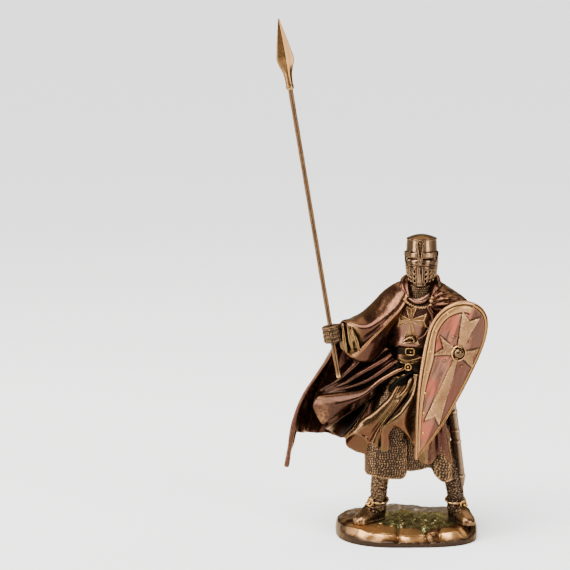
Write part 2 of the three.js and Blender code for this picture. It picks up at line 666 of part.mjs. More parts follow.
// Long folds that blow out from the right hip and end in a turned hem
const CLOAK_BLOWN = [
  [[-13, 8, 128], [-30, 12, 114], [-52, 20, 99]],
  [[-12, 1, 123], [-29.4, -7.4, 108.4], [-52.5, 9, 95]],
  [[-12, 2, 119], [-29, 0, 104], [-51, 13, 93]],
  [[-10, -3, 118], [-29.5, -9.2, 102], [-51.5, 8, 92.6]],
  [[-9, -1, 114], [-28, -4, 98], [-50, 8, 91]],
  [[-5, -11, 109.6], [-29, -14.8, 97.4], [-54.5, -9, 90.6]],
  [[-6, -10, 107.8], [-29, -15.4, 94.4], [-59, -9, 85.6]],
  [[-6, -6, 105], [-28, -9, 91], [-53, -10.5, 72.4]],
  [[-4, 1, 101], [-22.5, 2, 88], [-42, 4, 76]],
  [[-4, 4, 98], [-21.5, 0, 84], [-34.5, -4, 68.4]],
];

// Cloak on the left side: pleats that fan out from the clasp over the shoulder and arm
const CLASP = V(12.6, -14.6, 150);
const LEFT_SHOULDER = curveThrough(
  vectors([[17, -1, 161.5], [25, -1, 156], [32, -1, 151.5], [38, -3, 145], [39, -5, 133]]),
);
const LEFT_PLEATS = 4;

function pleatsAtClasp() {
  const guides = [];
  for (let k = 0; k <= 2 * LEFT_PLEATS; k++) {
    const share = k / (2 * LEFT_PLEATS);
    const top = LEFT_SHOULDER.getPoint(share);
    const end = CLASP.clone().add(V(0.4, 0, mix(3.4, -4, share)));
    const crest = k % 2 === 0 ? 1 : -1;
    const between = top.clone().lerp(end, 0.55).add(V(1.2, -4.6, 1.6).multiplyScalar(1 + 0.25 * crest));
    guides.push([top, between, end.add(V(0, -0.8 * crest, 0))].map((p) => p.toArray()));
  }
  return guides;
}

// Collar: a roll of cloth round the neck, open at the throat
const COLLAR = vectors([
  [-2.2, -11.5, 152.5], [-4.4, -6, 158.6], [-2.2, 2, 162.4], [6.5, 8, 163.6],
  [15.4, 4, 163.6], [17, -4, 160.6], [14.4, -10.6, 155], [12, -14.6, 150],
]);

// Loose sleeve that hangs from the wrist in front of the cloak
const SLEEVE = [
  [[-44, -6, 134], [-43.6, -8, 128], [-42.6, -9, 121]],
  [[-42.6, -8, 134.6], [-42, -12, 127], [-41, -12, 117.6]],
  [[-40.6, -8, 134.6], [-39, -9.5, 126], [-38.4, -8, 116.6]],
  [[-38.4, -8.6, 134.4], [-36.4, -12.5, 126], [-33.6, -12.5, 118]],
  [[-35.6, -8, 134], [-33.4, -9, 127], [-31, -8, 120]],
];

// Skirt of the surcoat, as ridges and valleys all the way round: degrees round the belt, then a point
// half way down and a point of the hem
const SKIRT_FOLDS = [
  [-173, [-17, -5, 80], [-27.5, -4, 54]],
  [-151, [-20, -13, 80], [-39, -14.5, 62]],
  [-136, [-18.5, -18, 80.5], [-36, -18, 67.6]],
  [-122, [-16.5, -20, 79], [-29, -22, 64.4]],
  [-117, [-12.6, -17, 77], [-21.8, -17.6, 57.6]],
  [-111, [-8.6, -20.4, 82], [-16, -21, 58]],
  [-106, [-4, -22.4, 87], [-10.6, -23.8, 75.6]],
  [-96, [1.2, -21, 86], [-1.6, -22.4, 70.6]],
  [-88, [6.2, -17.4, 80], [7.6, -19, 53]],
  [-75, [11.4, -19.4, 78], [14, -21.4, 50]],
  [-62, [16.4, -14, 78], [20.4, -15, 55.6]],
  [-45, [21, -13, 76], [27.2, -13, 48.8]],
  [-20, [22, -5, 76], [25.6, -4, 52]],
  [10, [22, 7, 72], [24, 8, 54]],
  [46, [19, 18, 70], [21, 21, 52]],
  [88, [4, 18, 70], [4, 20, 52]],
  [128, [-12, 18, 70], [-14, 20, 54]],
  [161, [-19, 6, 74], [-25, 6, 56]],
];
const SKIRT_TOP = { x: 3, y: -0.2, z: 108, a: 14.3, b: 11.9 };

function surcoatSkirt() {
  const guides = SKIRT_FOLDS.map(([round, middle, hem]) => {
    const { x, y, z, a, b } = SKIRT_TOP;
    return [[x + a * Math.cos(degrees(round)), y + b * Math.sin(degrees(round)), z], middle, hem];
  });
  return sheet(guides, { across: 2 * guides.length, down: 3, closed: true });
}

// A strap round the body as a flat hoop, with a square buckle set into it
function strap({ x, y, z, a, b, turn, slope, buckle }) {
  const [height, thickness, sunk] = [4.5, 1, 1.5];
  const level = (rise, grow) =>
    ring({
      z: z + rise,
      x,
      y,
      a: a + grow,
      b: b + grow,
      turn,
      square: 2.2,
      sides: 20,
      lift: (angle) => slope * Math.sin(angle + 0.5),
    });
  const band = loft([
    level(-height / 2, -sunk),
    level(-height / 2, thickness),
    level(height / 2, thickness),
    level(height / 2, -sunk),
  ]);
  const place = new THREE.Matrix4().makeRotationZ(degrees(turn)).setPosition(...buckle);
  return band.add(placed(new THREE.BoxGeometry(height + 0.5, 2 * thickness, height + 0.8), place));
}

// A waist belt, and a sword belt that slopes to the left hip
const WAIST_BELT = { x: 2.8, y: 0, z: 118.6, a: 13.4, b: 11, turn: TORSO_TURN, slope: 0 };
const SWORD_BELT = { x: 3.4, y: -0.4, z: 108.5, a: 14.4, b: 12.6, turn: HIP_TURN, slope: -2.6 };
const belts = () => [
  strap({ ...WAIST_BELT, buckle: [0, -11.6, 118.8] }),
  strap({ ...SWORD_BELT, buckle: [-0.8, -13.4, 109.6] }),
];

// Cross on the breast: four wedges of low relief with notched ends, the lowest the longest
function breastCross() {
  const middle = V(0.4, -13.3, 138.2);
  const side = V(Math.cos(degrees(TORSO_TURN)), Math.sin(degrees(TORSO_TURN)), 0);
  const out = V(Math.sin(degrees(TORSO_TURN)), -Math.cos(degrees(TORSO_TURN)), 0);
  const arms = [
    { toward: 90, length: 8.5, half: 3, lean: -0.1 },
    { toward: 0, length: 9.8, half: 4.2, lean: 0 },
    { toward: 180, length: 8.6, half: 4, lean: 0 },
    { toward: 270, length: 15, half: 4.4, lean: 0.1 },
  ];
  const [sunk, thick] = [4.4, 5];
  return arms.map(({ toward, length, half, lean }) => {
    const outline = [[-1, 0.5], [length, half], [length - 1.6, 0], [length, -half], [-1, -0.5]];
    const shape = new THREE.Shape(outline.map((p) => new THREE.Vector2(...p)));
    const plate = new THREE.ExtrudeGeometry(shape, { depth: thick, bevelEnabled: false });
    plate.rotateZ(degrees(toward));
    const normal = out.clone().add(V(0, 0, -lean)).normalize();
    return placed(plate, frameAt(middle.clone().addScaledVector(normal, -sunk), normal, side));
  });
}

// Sword in its scabbard at the left hip. grow widens it all round, for the seat it lies in.
const SWORD_MOUTH = V(22.6, 3, 111);
const SWORD_TIP = V(33.2, 5, 31.5);

function sword(grow = 0) {
  const axis = SWORD_TIP.clone().sub(SWORD_MOUTH);
  const length = axis.length();
  const frame = frameAt(SWORD_MOUTH, axis, V(1, -0.5, 0));
  const section = (at, wide, thick) => {
    const points = [];
    for (let i = 0; i < 8; i++) {
      const angle = ((i + 0.5) / 8) * TAU;
      const [a, b] = [wide * 1.08 + grow, thick * 1.08 + grow];
      points.push(V(a * Math.cos(angle), b * Math.sin(angle), at).applyMatrix4(frame));
    }
    return points;
  };
  const [half, thick] = [SCABBARD_WIDTH / 2, SCABBARD_THICKNESS / 2];
  const sheath = loft([
    section(-grow, half, thick),
    section(0.5 * length, 0.86 * half, thick),
    section(0.93 * length, 0.7 * half, 0.9 * thick),
    section(length + grow, 0.3 * half, 0.4 * thick),
  ]);
  const gripLength = 15;
  const guard = placed(
    new THREE.BoxGeometry(4 * half + 2 * grow, 3 + 2 * grow, 2.4 + 2 * grow),
    frame.clone().multiply(new THREE.Matrix4().makeTranslation(0, 0, -1)),
  );
  const grip = loft([section(0, 1.3, 1.1), section(-gripLength, 1.1, 0.9)]);
  const pommel = placed(
    new THREE.CylinderGeometry(2.7 + grow, 2.7 + grow, 2.6 + 2 * grow, 10),
    frame.clone().multiply(new THREE.Matrix4().makeTranslation(0, 0, -gripLength)),
  );
  return joined([sheath, guard, grip, pommel]);
}

function knight() {
  const body = joined([
    trunk(),
    coif(),
    helm(),
    mailSkirt(),
    leg([-2, 1, 92], [-10, -4, 66], [-16.5, -1, 42], SOLES[0]),
    leg([11, 1, 92], [21, -4, 66], [27.6, -1, 42], SOLES[1]),
    rightArm(),
    leftArm(),
    ...belts(),
    ...breastCross(),
  ]);
  const cloth = joined([
    sheet(CLOAK_BACK, { across: 22, down: 3 }),
    sheet(CLOAK_OVER_ARM, { across: 6, down: 3 }),
    sheet(CLOAK_TURN, { across: 6, down: 2 }),
    sheet(CLOAK_BLOWN, { across: 9, down: 3 }),
    sheet(pleatsAtClasp(), { across: 2 * LEFT_PLEATS, down: 2 }),
    sheet(SLEEVE, { across: 4, down: 2 }),
    surcoatSkirt(),
    limb(COLLAR, [2, 2.6, 2.8, 2.6, 1.6], { steps: 8, sides: 6 }),
  ]);
  const rooms = [spearBar(SPEAR_RADIUS + FIT_GAP, -2, SHAFT_END), shieldRoom(), sword(FIT_GAP)];
  return rooms.reduce((made, room) => made.subtract(room), body.add(cloth));
}

// Each piece's finish
const FINISHES = {
  plinth: { color: 0x8a6a45, roughness: 0.42, metalness: 0.7 },
  knight: { color: 0x7a4a38, roughness: 0.38, metalness: 0.75 },
  shield: { color: 0xb07a58, roughness: 0.45, metalness: 0.6 },
  sheathed_sword: { color: 0x4a3a2c, roughness: 0.5, metalness: 0.6 },
  spear_shaft: { color: 0xa8784a, roughness: 0.35, metalness: 0.85 },
  spear_head: { color: 0xb98a52, roughness: 0.35, metalness: 0.85 },
};

function piece(name, made) {
  const mesh = new THREE.Mesh(cast(made), new THREE.MeshStandardMaterial(FINISHES[name]));
  mesh.name = name;
  return mesh;
}

const statuette = new THREE.Group();
statuette.add(
  piece("plinth", plinth()),
  piece("knight", knight()),
  piece("shield", shield()),
  piece("sheathed_sword", sword()),
  piece("spear_shaft", spearBar(SPEAR_RADIUS, 0, SHAFT_END)),
  piece("spear_head", spearHead()),
);

export default statuette;
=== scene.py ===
# %% [markdown]
# # A crusader knight in cold-cast bronze
# The statuette is a resin casting full of bronze powder. It was finished by hand, with dark wax left in its
# hollows and a rubbed shine on its ridges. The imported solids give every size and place, and this lesson
# models the surface that the eye sees: drapery, mail, the great helm, the riveted shield and the rock.

import math

import bmesh
import bpy
import numpy as np
from mathutils import Matrix, Vector
from mathutils.bvhtree import BVHTree
from mathutils.kdtree import KDTree


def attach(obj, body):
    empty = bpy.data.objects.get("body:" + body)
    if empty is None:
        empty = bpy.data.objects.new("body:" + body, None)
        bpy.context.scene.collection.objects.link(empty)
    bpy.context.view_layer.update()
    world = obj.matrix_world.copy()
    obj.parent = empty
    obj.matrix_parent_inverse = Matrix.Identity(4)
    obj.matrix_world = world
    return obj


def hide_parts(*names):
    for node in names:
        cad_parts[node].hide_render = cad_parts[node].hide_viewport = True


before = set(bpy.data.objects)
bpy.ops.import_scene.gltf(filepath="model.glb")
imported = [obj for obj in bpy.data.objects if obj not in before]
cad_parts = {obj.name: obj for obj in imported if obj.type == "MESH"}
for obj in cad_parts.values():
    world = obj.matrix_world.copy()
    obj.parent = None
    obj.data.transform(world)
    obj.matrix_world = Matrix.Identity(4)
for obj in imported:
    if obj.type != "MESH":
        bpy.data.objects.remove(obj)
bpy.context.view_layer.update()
print("pieces of the frame:", sorted(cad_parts))

# %% [markdown]
# ## Camera
# The photograph was taken from a little above, with a long lens. The camera was worked out from points of the
# figure whose places are known, so that each piece can be judged through it from the start. Shapes are worked
# out in millimetres below and put down in metres.

# %% The camera
MM = 0.001
TAU = 2 * math.pi


def in_scene(name, data):
    """A new object in the scene that shows the given data."""
    item = bpy.data.objects.new(name, data)
    bpy.context.scene.collection.objects.link(item)
    return item


lens = bpy.data.cameras.new("view")
lens.lens, lens.sensor_width = 156.166, 36
camera = in_scene("view", lens)
camera.location = (-0.077, -1.516, 0.3854)
camera.rotation_euler = (math.radians(90 - 8.516), 0, 0)
bpy.context.scene.camera = camera
print("camera at", tuple(camera.location))

# %% [markdown]
# ## Smooth lines and grids
# A sculptor thinks in ridges and valleys. Each is a short list of points here, and a smooth line runs through
# them. Curve objects could do that too, but arrays let one line follow its neighbour and share its rows. Rows
# of such lines make a grid, and a grid has a direction that points out of it everywhere, which relief needs.

# %% Lines and grids
def points(text):
    """Points from text, with commas between them and semicolons between guides."""
    guides = [[point.split() for point in guide.split(",")] for guide in text.split(";")]
    return np.array(guides if len(guides) > 1 else guides[0], float)


def smooth_line(knots, places):
    """Positions on the smooth line through knots, at places counted in knots along the first axis."""
    knots = np.asarray(knots, float)
    around = np.concatenate([2 * knots[:1] - knots[1:2], knots, 2 * knots[-1:] - knots[-2:-1]])
    start = np.clip(np.floor(places).astype(int), 0, len(knots) - 2)
    w = (places - start).reshape((-1,) + (1,) * (knots.ndim - 1))
    a, b, c, d = (around[start + k] for k in range(4))
    ab, bc, cd = (
        np.maximum(np.sqrt(np.linalg.norm(q - p, axis=-1, keepdims=True)), 1e-3)
        for p, q in ((a, b), (b, c), (c, d))
    )
    leave = ((b - a) / ab - (c - a) / (ab + bc) + (c - b) / bc) * bc
    arrive = ((c - b) / bc - (d - b) / (bc + cd) + (d - c) / cd) * bc
    return (
        b * (2 * w**3 - 3 * w**2 + 1) + leave * (w**3 - 2 * w**2 + w)
        + c * (3 * w**2 - 2 * w**3) + arrive * (w**3 - w**2)
    )


def even_places(knots, step):
    """Places along the first axis that lie about one step apart, on average over the other axes."""
    fine = np.linspace(0, len(knots) - 1, 24 * (len(knots) - 1) + 1)
    gaps = np.linalg.norm(np.diff(smooth_line(knots, fine), axis=0), axis=-1)
    run = np.concatenate([[0], np.cumsum(gaps.reshape(len(gaps), -1).mean(axis=1))])
    count = max(3, round(run[-1] / step))
    return np.interp(np.linspace(0, run[-1], count + 1), run, fine)


def cloth_grid(guides, step):
    """Rows and columns of points over cloth whose guides run from its top to its hem."""
    lines = np.asarray(guides, float).transpose(1, 0, 2)
    rows = smooth_line(lines, even_places(lines, step)).transpose(1, 0, 2)
    return smooth_line(rows, even_places(rows, step)).transpose(1, 0, 2)


def outward(grid, closed=False):
    """The direction out of a grid at each of its points."""
    along = np.roll(grid, -1, 1) - np.roll(grid, 1, 1) if closed else np.gradient(grid, axis=1)
    out = np.cross(along, np.gradient(grid, axis=0))
    return out / np.maximum(np.linalg.norm(out, axis=-1, keepdims=True), 1e-9)


print("a row through 3 guides:", smooth_line([[0, 0, 0], [1, 0, 0], [2, 1, 0]], np.array([0.5])).round(3))

# %% [markdown]
# ## Bodies from grids
# A casting is solid, so nothing on the statuette is a bare sheet. Cloth gets its thickness from a second sheet
# behind it, a limb is made of rings and closed at both ends, and a wire loop is made of rings that meet. A
# modifier could thicken the cloth as well, but here relief can go on its face alone.

# %% Bodies
def quads_of(rows, columns, closed=False, first=0):
    j, i = np.meshgrid(np.arange(rows - 1), np.arange(columns - (0 if closed else 1)), indexing="ij")
    right = (i + 1) % columns
    corners = [j * columns + i, j * columns + right, (j + 1) * columns + right, (j + 1) * columns + i]
    return (np.stack(corners, -1).reshape(-1, 4) + first).tolist()


def between_sheets(face, back):
    """The body between a face and a back that have the same rows and columns."""
    rows, columns = face.shape[:2]
    count, low = rows * columns, (rows - 1) * columns
    faces = quads_of(rows, columns) + [quad[::-1] for quad in quads_of(rows, columns, first=count)]
    for i in range(columns - 1):
        faces.append([i + 1, i, count + i, count + i + 1])
        faces.append([low + i, low + i + 1, count + low + i + 1, count + low + i])
    for a in range(0, low, columns):
        b, c = a + columns, a + columns - 1
        faces.append([a, b, count + b, count + a])
        faces.append([c + columns, c, count + c, count + c + columns])
    return np.concatenate([face.reshape(-1, 3), back.reshape(-1, 3)]), faces


def slab(grid, thickness, relief=0.0):
    """A grid given a thickness. Relief is added to its face only."""
    out = outward(grid)
    face = grid + out * (thickness / 2 + np.asarray(relief)[..., None])
    return between_sheets(face, grid - out * thickness / 2)


def skin(rings):
    """Rings of equal count joined into a body, with a middle corner at both ends."""
    rings = np.asarray(rings, float)
    rows, columns = rings.shape[:2]
    corners = np.concatenate([rings.reshape(-1, 3), rings[0].mean(0)[None], rings[-1].mean(0)[None]])
    faces, low, top = quads_of(rows, columns, closed=True), (rows - 1) * columns, rows * columns
    for i in range(columns):
        k = (i + 1) % columns
        faces += [[top, k, i], [top + 1, low + i, low + k]]
    return corners, faces


def torus(rings):
    """Rings of equal count joined into a loop."""
    rings = np.array([*rings, rings[0]])
    return rings.reshape(-1, 3), quads_of(*rings.shape[:2], closed=True)


print("a loop of 4 rings with 3 corners each has", len(torus(np.zeros((4, 3, 3)))[1]), "faces")

# %% [markdown]
# ## Rings and limbs
# Body, arms and legs are skinned over rings, as a basket is woven over hoops. A limb follows a path, and its
# rings stand square to it. A superellipse makes a ring squarer than an ellipse, which suits a clothed chest.

# %% Rings and limbs
def aim(degrees):
    """The cosine and sine of an angle."""
    return math.cos(math.radians(degrees)), math.sin(math.radians(degrees))


def circle(count):
    """Evenly spaced angles, with their cosines and sines."""
    angles = np.arange(count) * TAU / count
    return angles, np.cos(angles), np.sin(angles)


def bent(values, power):
    """Cosines or sines, bent so that their circle is squarer."""
    return np.sign(values) * np.abs(values) ** power


def unit(vector):
    return vector / np.linalg.norm(vector, axis=-1, keepdims=True)


def turned(x, y, degrees):
    c, s = aim(degrees)
    return x * c - y * s, x * s + y * c


def ring(angles, z, x, y, a, b, turn=0.0, square=2.0):
    """One level ring with half widths a and b, which may change round it."""
    px, py = turned(a * bent(np.cos(angles), 2 / square), b * bent(np.sin(angles), 2 / square), turn)
    return np.stack([x + px, y + py, np.broadcast_to(z, angles.shape)], -1)


def body_rings(levels, step, square=2.0):
    """Rings between the given levels of (z, x, y, half width, half depth, turn)."""
    levels = np.asarray(levels, float)
    angles = circle(round(TAU * levels[:, 3:5].max() / step))[0]
    rows = smooth_line(levels, even_places(levels[:, :3], step))
    return np.array([ring(angles, *row, square) for row in rows])


def limb(path, radii, step, sides=None):
    """A round limb along a smooth path, with its radii spread evenly over it."""
    places = even_places(path, step)
    line = smooth_line(path, places)
    share = places / (len(path) - 1) * (len(radii) - 1)
    radius = smooth_line(np.array(radii, float)[:, None], share)[:, 0]
    ahead = unit(np.gradient(line, axis=0))
    side = np.cross([0, 0, 1], ahead)
    flat = np.linalg.norm(side, axis=1) < 0.2
    side[flat] = np.array([1, 0, 0]) - ahead[flat] * ahead[flat, :1]
    side = unit(side)
    _, c, s = circle(sides or round(TAU * max(radii) / step))
    spread = side[:, None] * c[:, None] + np.cross(ahead, side)[:, None] * s[:, None]
    return skin(line[:, None] + spread * radius[:, None, None])


def rolled(line, radii):
    """A thin roll that stiffens the edge of a cloth."""
    return limb(line, radii, 0.6, 14)


def ball(middle, radius, steps=24):
    _, c, s = circle(2 * steps)
    return skin([
        np.stack([
            middle[0] + radius * math.sin(p) * c, middle[1] + radius * math.sin(p) * s,
            np.full(len(c), middle[2] + radius * math.cos(p)),
        ], -1) for p in np.linspace(0.02, math.pi - 0.02, steps)
    ])


print("a ball has", len(ball((0, 0, 0), 1)[0]), "corners")

# %% [markdown]
# ## Putting a piece down
# Each piece rides on the one body of the frame, hides the solid that it covers, and carries its finish as its
# material. A mark is a number on each corner that the finish reads, such as how much gilt there is. Marks
# could be painted by hand, but their places are known, so they are worked out.

# %% Making pieces
pieces = {}


def mesh_from(name, body):
    """A mesh from a body, which is a pair of corners and faces."""
    mesh = bpy.data.meshes.new(name)
    mesh.from_pydata(np.asarray(body[0], float).tolist(), [], body[1])
    mesh.update()
    return mesh


def mark(mesh, **marks):
    """Writes a number on each corner of a mesh for each mark. Corners that are left over get 0."""
    for name, values in marks.items():
        full = np.zeros(len(mesh.vertices))
        full[:np.size(values)] = np.ravel(values)
        mesh.attributes.new(name, "FLOAT", "POINT").data.foreach_set("value", full)


def put_down(name, body, node, slot, finish, **marks):
    """Shows a body or a cast mesh, in millimetres, as a piece of the statuette with its marks."""
    mesh = mesh_from(name, body) if isinstance(body, tuple) else body
    mesh.transform(Matrix.Scale(MM, 4))
    shape = bmesh.new()
    shape.from_mesh(mesh)
    bmesh.ops.recalc_face_normals(shape, faces=shape.faces)
    shape.to_mesh(mesh)
    shape.free()
    mesh.polygons.foreach_set("use_smooth", np.ones(len(mesh.polygons), bool))
    mesh.materials.clear()
    mesh.materials.append(finish)
    mark(mesh, **marks)
    piece = in_scene(name, mesh)
    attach(piece, "root")
    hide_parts(node)
    pieces[name] = mesh
    print(f"{name}: {len(mesh.vertices)} vertices, {sum(len(p.vertices) - 2 for p in mesh.polygons)} triangles")
    return mesh


print("pieces so far:", len(pieces))

# %% [markdown]
# ## Casting parts together
# Cloth is first laid as overlapping slabs. A voxel remesh then casts them into one skin, and a little
# smoothing gives the soft edges of a poured casting. Joining slabs by hand would leave faces inside.

# %% Casting
def joined(parts):
    corners, faces, first = [], [], 0
    for part_corners, part_faces in parts:
        corners.append(part_corners)
        faces += [[v + first for v in face] for face in part_faces]
        first += len(part_corners)
    return np.concatenate(corners), faces


def cast_together(name, parts, voxel, softening, keep=1.0):
    """One skin round all the parts, with soft edges, that keeps a share of its faces. It is in millimetres."""
    raw = mesh_from(name + "_raw", joined(parts))
    holder = in_scene(name + "_raw", raw)
    remesh = holder.modifiers.new("cast", "REMESH")
    remesh.mode, remesh.voxel_size = "VOXEL", voxel
    soften = holder.modifiers.new("soften", "SMOOTH")
    soften.factor, soften.iterations = 0.5, softening
    if keep < 1:
        holder.modifiers.new("lighter", "DECIMATE").ratio = keep
    mesh = bpy.data.meshes.new_from_object(holder.evaluated_get(bpy.context.evaluated_depsgraph_get()))
    mesh.name = name
    bpy.data.objects.remove(holder)
    bpy.data.meshes.remove(raw)
    return mesh


def corners_of(mesh, what="co"):
    """The place of each corner of a mesh, or its normal."""
    values = np.empty(len(mesh.vertices) * 3, np.float32)
    mesh.vertices.foreach_get(what, values)
    return values.reshape(-1, 3).astype(float)


def push(mesh, amount):
    """Moves each corner out along its normal."""
    moved = corners_of(mesh) + corners_of(mesh, "normal") * np.asarray(amount)[:, None]
    mesh.vertices.foreach_set("co", moved.ravel())
    mesh.update()


print("ready to cast")

# %% [markdown]
# ## Shaders as sums
# Node trees grow hard to read when each link is written out. The class below wraps a socket, so that a finish
# is written as a sum of values, and each operator adds its Math node. Colours go through Mix nodes only,
# because a Math node turns a colour grey.

# %% A small language for shaders
class Wire:
    """A value or colour on its way between nodes."""

    def __init__(self, tree, socket=None):
        self.tree, self.socket = tree, socket

    def make(self, kind, settings=None, inputs=None, out=0):
        node = self.tree.nodes.new(kind)
        for key, value in (settings or {}).items():
            setattr(node, key, value)
        for key, value in (inputs or {}).items():
            if isinstance(value, Wire):
                self.tree.links.new(value.socket, node.inputs[key])
            else:
                node.inputs[key].default_value = value
        return Wire(self.tree, node.outputs[out])

    def math(self, operation, *values, clamp=False):
        return self.make("ShaderNodeMath", {"operation": operation, "use_clamp": clamp}, dict(enumerate(values)))

    def __add__(self, other):
        return self.math("ADD", self, other)

    __radd__ = __add__

    def __sub__(self, other):
        return self.math("SUBTRACT", self, other)

    def __rsub__(self, other):
        return self.math("SUBTRACT", other, self)

    def __mul__(self, other):
        return self.math("MULTIPLY", self, other)

    __rmul__ = __mul__

    def clamped(self):
        return self.math("ADD", self, 0.0, clamp=True)

    def between(self, low, high):
        """0 below low, 1 above high, and smooth from one to the other."""
        settings = {"interpolation_type": "SMOOTHSTEP"}
        return self.make("ShaderNodeMapRange", settings, {"Value": self, "From Min": low, "From Max": high})

    def mix(self, first, second):
        """From the first colour to the second one by this value."""
        a, b = ((*c, 1) if isinstance(c, tuple) else c for c in (first, second))
        return self.make("ShaderNodeMix", {"data_type": "RGBA"}, {0: self, 6: a, 7: b}, out=2)


print("operators:", [name for name in ("__add__", "__sub__", "__mul__") if hasattr(Wire, name)])

# %% [markdown]
# ## One waxed bronze for all
# Every surface of the statuette is the same idea in other colours: dark wax left in the hollows, the body
# colour, and bare metal where a cloth rubbed the ridges. So one function makes them all. Two marks steer it:
# `edge` for ridges, and a darkening mark for the deep places where wax lies, which also carries painted shade
# on faces that look down and low on the cloak. Both are worked out on the meshes near the end. Fine specks and
# slow clouds keep each finish from looking like paint.

# %% Finishes
def rgb(colour):
    """A colour as it looks on a screen, turned into the linear light that a shader works in."""
    return tuple(((v / 255 + 0.055) / 1.055) ** 2.4 if v > 10 else v / 3294.6 for v in colour)


def finish_of(name, dark, body, bright, roughness=0.34, metal=0.92, grain=700.0, bump=0.25, tint=None, marks=None,
              streaks=None, coat=0.1, wear=1.0, dirt=1.0, mottle=0.5):
    """Waxed metal: dark in its hollows and under painted shade, bright on its ridges, with a fine cast grain.

    marks gives each mark its colour, and streaks is a colour, a turn in degrees and a stretch.
    """
    material = bpy.data.materials.new(name)
    material.use_nodes = True
    tree = material.node_tree
    tree.nodes.clear()
    start = Wire(tree)

    def marked(attribute):
        return start.make("ShaderNodeAttribute", {"attribute_name": attribute}, out=2)

    edge, hollow = marked("edge"), marked("hollow")
    where = start.make("ShaderNodeTexCoord", out=3)

    def noise(scale, detail=3.0, at=where):
        return start.make("ShaderNodeTexNoise", inputs={"Vector": at, "Scale": scale, "Detail": detail})

    clouds, specks = noise(90.0), noise(grain, 2.0)
    colour = clouds.between(0.38, 0.66).mix(rgb(body), rgb(tint or body))
    if streaks:
        stroke_colour, turn, stretch = streaks
        rotated = start.make("ShaderNodeMapping", inputs={"Vector": where, "Rotation": (0, math.radians(turn), 0)})
        stretched = start.make("ShaderNodeMapping", inputs={"Vector": rotated, "Scale": (1, 1, 1 / stretch)})
        strokes = noise(420.0, 3.0, stretched)
        colour = (strokes.between(0.44, 0.66) * 0.8).mix(colour, rgb(stroke_colour))
    for attribute, mark_colour in (marks or {}).items():
        colour = marked(attribute).clamped().mix(colour, rgb(mark_colour))
    rubbed = ((edge - 0.05) * 1.5 * wear + (specks - 0.5) * 0.9 * mottle).clamped()
    colour = rubbed.mix(colour, rgb(bright))
    # Darkening by wax in the hollows and valleys, and by the painted shade that the darkening mark carries.
    waxed = ((hollow - 0.28) * 1.9 * dirt + (0.02 - edge) * 1.7 * dirt + (clouds - 0.5) * 0.7 * mottle).clamped()
    colour = (waxed * 0.95).mix(colour, rgb(dark))
    rough = (roughness + waxed * 0.25 - rubbed * 0.08 + (specks - 0.5) * 0.18).clamped()
    relief = start.make(
        "ShaderNodeBump", inputs={"Height": specks + clouds * 0.6, "Strength": bump, "Distance": 0.0004}
    )
    shader = start.make("ShaderNodeBsdfPrincipled", inputs={
        "Base Color": colour, "Roughness": rough, "Metallic": metal, "Normal": relief, "Coat Weight": coat,
        "Coat Roughness": 0.25, "Specular Tint": (0.8, 0.62, 0.46, 1),
    })
    end = tree.nodes.new("ShaderNodeOutputMaterial")
    tree.links.new(shader.socket, end.inputs["Surface"])
    return material


print("black wax:", rgb((8, 5, 3)))

# %% [markdown]
# ## The finishes
# The cloak is a rosy brown, the surcoat under it a golden one, and the helm darker and better polished.
# Straps are almost black. The shield has a rose field with a sandy, hammered cross, and the rock is golden at
# the front with moss in its middle. The colours were matched region by region under the lights of this scene.

# %% The finishes of this statuette
# On the cloak, one mark paints shade on the lower folds and one paints highlights on the lips and a few spots.
cloak_finish = finish_of(
    "cloak_rose_bronze", (13, 8, 5), (60, 33, 22), (150, 104, 72), tint=(70, 42, 29), roughness=0.23, wear=0.16,
    dirt=0.85, mottle=0.2, bump=0.12, marks={"gilt": (98, 74, 40), "low": (46, 26, 17), "lip": (134, 92, 60)},
)
# On the surcoat, the mark for the long ridges paints a highlight along them.
surcoat_finish = finish_of(
    "surcoat_bronze", (8, 4, 2), (74, 45, 26), (190, 142, 90), tint=(66, 49, 24), roughness=0.24, wear=0.22,
    mottle=0.2, bump=0.12, marks={"rose": (58, 31, 23), "chest": (102, 68, 54), "ridge": (84, 60, 36)},
)
mail_finish = finish_of("mail_bronze", (7, 5, 3), (32, 23, 14), (138, 102, 66), roughness=0.36, dirt=0.6, mottle=0.9)
# On the helm, dark marks paint shade in the holes, slits and sides, and a bright one paints highlight stripes.
helm_finish = finish_of(
    "helm_bronze", (9, 6, 4), (68, 48, 31), (190, 148, 104), tint=(58, 40, 25), roughness=0.11, wear=0.25,
    mottle=0.15, bump=0.1, marks={"dull": (36, 26, 18), "polished": (138, 106, 72), "pit": (3, 2, 1)},
)
strap_finish = finish_of("strap_black", (1, 1, 1), (7, 6, 5), (30, 25, 17), roughness=0.4, metal=1.0, coat=0.0)
gold_finish = finish_of("fitting_gold", (18, 10, 3), (112, 76, 32), (224, 174, 100), roughness=0.24)
boss_finish = finish_of("boss_bronze", (8, 5, 3), (46, 31, 19), (176, 134, 86), roughness=0.22, mottle=0.2)
cross_finish = finish_of(
    "cross_gold", (24, 14, 7), (122, 87, 54), (212, 168, 114), tint=(101, 70, 43), roughness=0.3, grain=1000.0,
    bump=0.6, marks={"seam": (20, 12, 7)}, wear=0.5, mottle=1.1,
)
shield_finish = finish_of(
    "shield_rose", (18, 9, 6), (116, 76, 58), (188, 134, 92), tint=(138, 68, 48), roughness=0.36, metal=0.8,
    marks={"shade": (66, 39, 30), "rim": (116, 84, 42), "seam": (26, 14, 9)}, streaks=((54, 35, 27), -20, 12),
    dirt=0.8, wear=0.6,
)
scabbard_finish = finish_of(
    "scabbard_bronze", (12, 9, 7), (98, 80, 64), (184, 148, 110), roughness=0.36, metal=1.0, coat=0.0, dirt=0.45,
)
